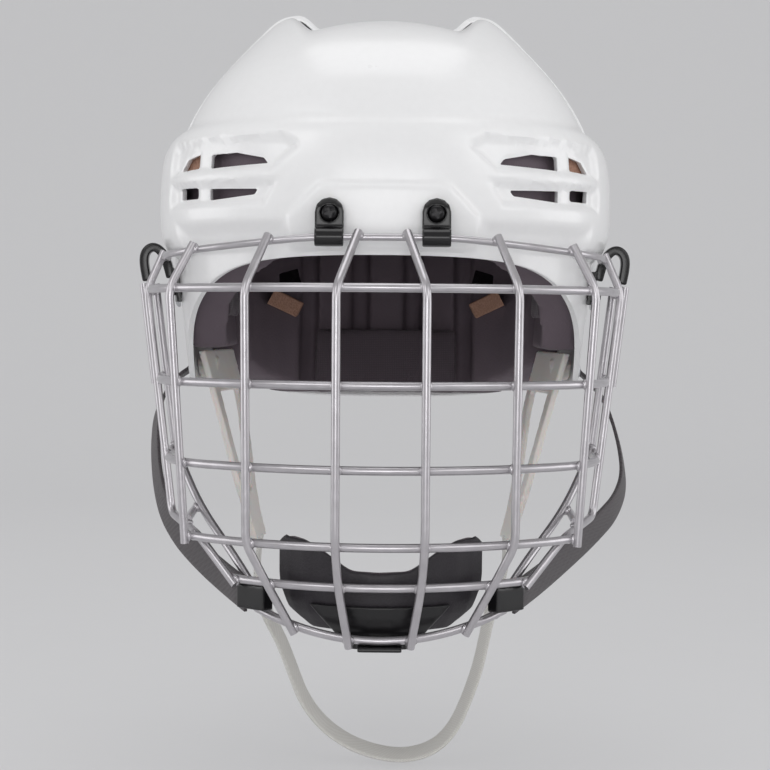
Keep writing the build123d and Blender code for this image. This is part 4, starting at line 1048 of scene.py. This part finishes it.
# %% [markdown]
# ## Comfort pads
#
# Thin pads of soft foam, covered in brushed knit, lie on the liner at the brow, the
# temples, the crown and the back of the head, and one lines the chin cup. Foam under
# a stretched cover is fuller in its middle than at its edge. A short cloth
# simulation with a little air pressure gives that, and a limit on the swelling keeps
# each pad in the space that the CAD gives it. The brushed knit scatters light like
# felt: it is fully rough with a little sheen, and its loops are a millimetre wide.

# %% Swell a pad
pad_grain, pad_swell, shrunk_first, air_pressure, cloth_frames = 1.5, 0.9, 0.35, 4.0, 20


def swollen(node, grain, swell):
    """The CAD pad as a soft skin, a little smaller and then blown up by some millimetres."""
    start = worked(as_mesh(joined_copy(node), node), [
        ("REMESH", {"mode": "VOXEL", "voxel_size": grain * mm}),
        ("SMOOTH", {"factor": 0.5, "iterations": 6}),
        ("DISPLACE", {"strength": -shrunk_first * swell * mm, "mid_level": 0.0}),
    ])
    bench = bpy.data.objects.new("pad_bench", start)
    bpy.context.scene.collection.objects.link(bench)
    cloth = bench.modifiers.new("cover", "CLOTH").settings
    cloth.use_pressure, cloth.uniform_pressure_force = True, air_pressure
    cloth.effector_weights.gravity = 0.0
    for step in range(1, cloth_frames + 1):
        bpy.context.scene.frame_set(step)
    ready = bench.evaluated_get(bpy.context.evaluated_depsgraph_get())
    result = bpy.data.meshes.new_from_object(ready)
    bpy.context.scene.frame_set(1)
    for vertex, first in zip(result.vertices, start.vertices):
        move = vertex.co - first.co
        if move.length > swell * mm:
            vertex.co = first.co + move.normalized() * (swell * mm)
    bpy.data.objects.remove(bench)
    return worked(result, [
        ("SMOOTH", {"factor": 0.5, "iterations": 4}),
        ("SUBSURF", {"levels": 1, "render_levels": 1}),
    ])


# %% Pads
pad_knit, place = new_material(
    "brushed_knit_over_foam", "#544a51", 0.9, Sheen_Weight=0.1, Sheen_Roughness=0.5,
)
loops = {"Vector": place, "Scale": bands_apart(0.952), "Distortion": 1.2, "Detail": 2.0}
courses = add(pad_knit, "TexWave", loops, bands_direction="Z")
wales = add(pad_knit, "TexWave", loops, bands_direction="X")
crossed = {0: courses.outputs["Fac"], 1: wales.outputs["Fac"]}
knit = add(pad_knit, "Math", crossed, operation="MULTIPLY")
add(pad_knit, "Bump", {"Height": knit, "Distance": 0.2 * mm, "Strength": 0.5}, to="Normal")
hues = {0: knit, 6: srgb("#4d444b"), 7: srgb("#5c5259")}
add(pad_knit, "Mix", hues, to="Base Color", data_type="RGBA")
pads = (
    ("brow_pad", "front"), ("crown_pad", "front"), ("temple_pad_left", "front"),
    ("temple_pad_right", "front"), ("occipital_pad", "rear"), ("chin_cup_foam", "cage"),
)
for name, body in pads:
    mesh = swollen(name, pad_grain, pad_swell)
    pad = show(name + "_knit", mesh, body, pad_knit, [name])
    print(name, len(mesh.polygons), "faces")


# %% [markdown]
# ## Side straps
#
# Flat nylon webbing, 15 mm wide, runs from a snap on the shell to a hook at the chin.
# The two edges of the CAD strap are read off as routes, each bend is eased, and a
# sheet of quads between them is given its thickness. Nylon thread has a slight sheen,
# and the twill's threads are about a millimetre apart.

# %% Webbing
webbing_span, span_margin, end_area, webbing_thickness, webbing_reach = 15.1, 0.3, 14, 1.6, 16.0


def strap_edges(node):
    """The two edges of a flat CAD strap, from end to end, as routes of points."""
    shape = joined_copy(node)
    shape.normal_update()
    for face in shape.faces:
        around = [near for rim in face.edges for near in rim.link_faces if near != face]
        twin = [near for near in around if near.normal.dot(face.normal) > 0.9999]
        ring = {corner for near in [face, *twin] for corner in near.verts}
        span = max((a.co - b.co).length for a in ring for b in ring)
        as_wide = abs(span - webbing_span * mm) < span_margin * mm
        if len(ring) == 4 and as_wide and face.calc_area() < end_area * mm * mm:
            break
    edges, seen = ([], []), set()
    while ring:
        first = min(ring, key=lambda corner: (
            (corner.co - edges[0][-1]).length if edges[0] else corner.co.y
        ))
        partner = min(ring - {first}, key=lambda corner: (corner.co - first.co).length)
        others = ring - {first, partner}
        edges[0].append((first.co + partner.co) / 2)
        edges[1].append(sum((corner.co for corner in others), Vector()) / len(others))
        seen |= ring
        ring = {link.other_vert(corner) for corner in ring for link in corner.link_edges} - seen
    shape.free()
    return edges


nylon_webbing, place = new_material("woven_nylon_webbing", "#3a3538", 0.7, Sheen_Weight=0.2)
threads = {"Vector": place, "Scale": bands_apart(1.2083), "Distortion": 0.3}
warp = add(nylon_webbing, "TexWave", threads, bands_direction="Y")
weft = add(nylon_webbing, "TexWave", threads | {"Scale": bands_apart(0.98175)}, bands_direction="DIAGONAL")
crossed = {0: warp.outputs["Fac"], 1: weft.outputs["Fac"]}
twill = add(nylon_webbing, "Math", crossed, operation="MAXIMUM")
add(nylon_webbing, "Bump", {"Height": twill, "Distance": 0.2 * mm, "Strength": 0.8}, to="Normal")
hues = {0: twill, 6: srgb("#292528"), 7: srgb("#453f43")}
add(nylon_webbing, "Mix", hues, to="Base Color", data_type="RGBA")
for hand in both:
    name = f"side_strap_{hand}"
    routes = [bent(edge, webbing_reach, webbing_reach, 8) for edge in strap_edges(name)]
    mesh = bar_between(*routes, webbing_thickness, 0.45)
    show(name + "_webbing", mesh, "cage", nylon_webbing, [name])
    print("side strap", hand, len(mesh.polygons), "faces")


# %% [markdown]
# ## Screws and snaps
#
# The forehead clips are held by black cross-head screws, the shells by plated slotted
# ones. Each is turned from a profile, so it is spun about its own axis, and then its
# drive is cut out. The places, sizes and directions come from the CAD screws. Black
# oxide keeps steel's grain and makes it dark, and zinc plating makes it pale and
# cloudy. The grain is drawn one to two millimetres wide, so that it shows at all.

# %% Turned parts
cross_shares, slot_shares = (1.3, 0.34), (2.4, 0.3)
drive_turn, drive_depth_share, shank_chamfer = 0.3, 0.55, 0.4
head_shares = ((0, 1), (0.45, 0.98), (0.74, 0.86), (0.92, 0.58), (1, 0.22), (1, 0))


def spun(profile, segments=36):
    """A closed round solid from a profile of radius and height in millimetres."""
    shape = bmesh.new()
    line = [shape.verts.new((radius * mm, 0, height * mm)) for radius, height in profile]
    edges = [shape.edges.new(pair) for pair in zip(line, line[1:])]
    bmesh.ops.spin(
        shape, geom=line + edges, axis=(0, 0, 1), cent=(0, 0, 0), angle=2 * pi, steps=segments,
        use_merge=True,
    )
    bmesh.ops.remove_doubles(shape, verts=shape.verts, dist=0.005 * mm)
    bmesh.ops.recalc_face_normals(shape, faces=shape.faces)
    return shape


def drive_tools(radius, depth, cross, top):
    """Blocks in the form of the drive's slot or cross, turned a little as screws end up."""
    tools = []
    length, width = (cross_shares if cross else slot_shares)
    size = Vector((length * radius, width * radius, 2 * depth)) * mm
    for turn in (0, pi / 2)[: 2 if cross else 1]:
        shape = bmesh.new()
        bmesh.ops.create_cube(shape, size=1)
        bmesh.ops.scale(shape, vec=size, verts=shape.verts)
        bmesh.ops.translate(shape, vec=(0, 0, top * mm), verts=shape.verts)
        turned = Matrix.Rotation(turn + drive_turn, 3, "Z")
        bmesh.ops.rotate(shape, matrix=turned, verts=shape.verts)
        tool = bpy.data.objects.new("drive_tool", as_mesh(shape, "drive_tool"))
        bpy.context.scene.collection.objects.link(tool)
        tools.append(tool)
    return tools


# %% Read the CAD screws
def solids_of(node):
    """The separate solids of a CAD node, each as a list of its corners."""
    shape = joined_copy(node)
    shape.verts.index_update()
    seen, found = set(), []
    for first in shape.verts:
        group, edge = set(), [first] if first not in seen else []
        while edge:
            corner = edge.pop()
            group.add(corner)
            ends = [link.other_vert(corner) for link in corner.link_edges]
            edge += [end for end in ends if end not in group]
        seen |= group
        if group:
            group = sorted(group, key=lambda corner: corner.index)
            found.append([corner.co.copy() / mm for corner in group])
    shape.free()
    return found


def put_on_axis(mesh, axis, place):
    """The mesh, made along Z, turned to an axis and moved to its place in millimetres."""
    turned = axis.to_track_quat("Z", "Y").to_matrix().to_4x4()
    mesh.transform(Matrix.Translation(place * mm) @ turned)


# %% Make the screws of a node
def round_screws(node, axis, cross):
    """Round screws for the CAD node's screws. The head faces along the axis."""
    whole = bmesh.new()
    for corners in solids_of(node):
        facing = Vector((axis[0] * (1 if corners[0].x > 0 else -1), axis[1], axis[2]))
        heights = [corner.dot(facing) for corner in corners]
        crown = [corner for corner, height in zip(corners, heights) if height > max(heights) - 0.02]
        middle = sum(crown, Vector()) / len(crown)
        from_middle = [corner - middle for corner in corners]
        around = [(run - facing * run.dot(facing)).length for run in from_middle]
        radius = max(around)
        seat = min(height for height, off in zip(heights, around) if off > 0.97 * radius)
        shank = max(off for height, off in zip(heights, around) if height < min(heights) + 0.02)
        high, low = max(heights) - seat, min(heights) - seat
        head = [(across * radius, up * high) for across, up in head_shares]
        tip = [(shank, low + shank_chamfer), (shank - shank_chamfer, low), (0, low)]
        tools = drive_tools(radius, drive_depth_share * high, cross, high)
        mesh = worked(as_mesh(spun([*head, (shank, 0), *tip]), node), [
            ("BOOLEAN", {"object": tool, "operation": "DIFFERENCE", "solver": "EXACT"})
            for tool in tools
        ])
        for tool in tools:
            bpy.data.objects.remove(tool)
        put_on_axis(mesh, facing, middle - facing * (middle.dot(facing) - seat))
        whole.from_mesh(mesh)
    mesh = as_mesh(whole, node)
    mesh.set_sharp_from_angle(angle=radians(35))
    return mesh


# %% Screw and snap materials
black_steel, place = new_material("black_oxide_steel", "#1c1b1d", 0.3, Metallic=0.6)
tool_marks = add(black_steel, "TexNoise", {"Vector": place, "Scale": 1 / (1.4286 * mm), "Detail": 2.0})
add(black_steel, "Bump", {"Height": tool_marks, "Distance": 0.03 * mm, "Strength": 0.4}, to="Normal")
add(black_steel, "MapRange", {"Value": tool_marks, "To Min": 0.22, "To Max": 0.4}, to="Roughness")
plated_steel, place = new_material("zinc_plated_steel", "#b9babd", 0.32, Metallic=1.0)
plating = add(plated_steel, "TexNoise", {"Vector": place, "Scale": 1 / (2.0 * mm), "Detail": 3.0})
add(plated_steel, "Bump", {"Height": plating, "Distance": 0.03 * mm, "Strength": 0.4}, to="Normal")
add(plated_steel, "MapRange", {"Value": plating, "To Min": 0.24, "To Max": 0.42}, to="Roughness")
hues = {0: plating, 6: srgb("#adaeb2"), 7: srgb("#c6c7ca")}
add(plated_steel, "Mix", hues, to="Base Color", data_type="RGBA")

# %% Screws
for name, axis, cross, material in (
    ("clip_screws", (0, -1, 0), True, black_steel),
    ("side_clip_screws", (1, 0, 0), True, black_steel),
    ("size_screws", (1, 0, 0), False, plated_steel),
    ("guard_screws", (1, 0, 0), True, plated_steel),
):
    mesh = round_screws(name, axis, cross)
    show(name + "_turned", mesh, "front", material, [name])
    print(name, len(mesh.polygons), "faces")
for name in ("size_nuts", "clip_nuts"):
    nodes[name].data.materials.clear()
    nodes[name].data.materials.append(plated_steel)

# %% Snaps
stud_profile = [
    (0, 1.9), (1.6, 1.85), (2.3, 1.5), (2.3, 0.8), (4.6, 0.7), (5.0, 0.4), (5.0, 0), (0, 0),
]
cap_profile = [
    (0, 2.4), (2.4, 2.35), (3.6, 2.05), (4.0, 1.75), (4.5, 1.95),
    (5.4, 1.8), (6.0, 1.2), (6.0, 0.3), (5.7, 0), (0, 0),
]
for kind, body, profile in (
    ("snap_stud", "front", stud_profile), ("snap_cap", "cage", cap_profile),
):
    for hand in both:
        name = f"{kind}_{hand}"
        low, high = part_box(name)
        middle = (low + high) / 2 / mm
        side = 1 if middle.x > 0 else -1
        middle.x = (low.x if side > 0 else high.x) / mm
        mesh = as_mesh(spun(profile), name)
        mesh.set_sharp_from_angle(angle=radians(45))
        put_on_axis(mesh, Vector((side, 0, 0)), middle)
        show(name + "_turned", mesh, body, black_steel, [name])
print("snaps turned")


# %% [markdown]
# ## Floor and light
#
# The helmet hangs just above a pale studio sweep. Two soft boxes stand in front, one on
# each side, a third stands low before the face, two fill the flanks and one hangs
# above. Their level is set so that white plastic comes out near white without
# clipping. The paper glows a little for the camera and in reflections, which keeps the
# background even and pale without more light on the helmet.

# %% Floor
glow_share, floor_level = 0.6, -0.2125
sweep_width, sweep_height, bend_start, bend = 7.0, 3.5, 1.2, 0.8
floor_paper, place = new_material("matt_studio_paper", "#d5d5d6", 0.9)
fibre = add(floor_paper, "TexNoise", {"Vector": place, "Scale": 1 / (25.0 * mm), "Detail": 2.0})
hues = {0: fibre, 6: srgb("#d4d4d5"), 7: srgb("#d7d7d8")}
add(floor_paper, "Mix", hues, to="Base Color", data_type="RGBA")
paper_nodes = floor_paper.node_tree.nodes
glow = add(floor_paper, "Emission", {"Color": srgb("#d2d2d4"), "Strength": 1.0})
rays = add(floor_paper, "LightPath", {}).outputs
straight = {0: rays["Is Camera Ray"], 1: rays["Is Glossy Ray"]}
sharp = add(floor_paper, "Math", straight, operation="MAXIMUM")
sharp = add(floor_paper, "Math", {0: sharp, 1: rays["Is Transmission Ray"]}, operation="MAXIMUM")
seen = add(floor_paper, "Math", {0: sharp, 1: glow_share}, operation="MULTIPLY")
blend = add(floor_paper, "MixShader", {0: seen, 1: paper_nodes["Principled BSDF"], 2: glow})
floor_paper.node_tree.links.new(
    blend.outputs[0], paper_nodes["Material Output"].inputs["Surface"],
)
shape = bmesh.new()
curve = [(bend_start + bend * sin(a), bend - bend * cos(a)) for a in np.radians(range(10, 91, 10))]
profile = [(-2.5, 0), (bend_start, 0), *curve, (bend_start + bend, sweep_height)]
line = [shape.verts.new((-sweep_width / 2, y, z + floor_level)) for y, z in profile]
edges = [shape.edges.new(pair) for pair in zip(line, line[1:])]
grown = bmesh.ops.extrude_edge_only(shape, edges=edges)["geom"]
far_side = [item for item in grown if isinstance(item, bmesh.types.BMVert)]
bmesh.ops.translate(shape, vec=(sweep_width, 0, 0), verts=far_side)
bmesh.ops.recalc_face_normals(shape, faces=shape.faces)
sweep_mesh = as_mesh(shape, "studio_sweep")
sweep_mesh.materials.append(floor_paper)
sweep = bpy.data.objects.new("studio_sweep", sweep_mesh)
bpy.context.scene.collection.objects.link(sweep)
sweep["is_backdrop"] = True

# %% Lights
def soft_box(name, place, size, power):
    """A square soft box that looks at the helmet's origin."""
    lamp = bpy.data.lights.new(name, "AREA")
    lamp.size, lamp.energy = size, power
    box = bpy.data.objects.new(name, lamp)
    box.location = place
    box.rotation_euler = (-Vector(place)).to_track_quat("-Z", "Y").to_euler()
    bpy.context.scene.collection.objects.link(box)


soft_box("key_box", (-0.8, -1.2, 0.75), 0.7, 3.4)
soft_box("fill_box", (0.9, -1.1, 0.6), 0.8, 3.4)
soft_box("front_box", (0.0, -1.5, -0.05), 0.7, 5.2)
soft_box("side_box_left", (-1.3, -0.1, 0.1), 0.9, 4.2)
soft_box("side_box_right", (1.3, -0.1, 0.1), 0.9, 4.2)
soft_box("top_box", (0.0, 0.0, 1.2), 0.8, 3.0)

world = bpy.data.worlds.new("studio_air")
bpy.context.scene.world = world
world.use_nodes = True
air = world.node_tree.nodes["Background"]
air.inputs["Color"].default_value = srgb("#eaeaea")
air.inputs["Strength"].default_value = 0.5

# %% Size and finish
low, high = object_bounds()
print("visual low/high in mm:", [round(v / mm, 1) for v in (*low, *high)])
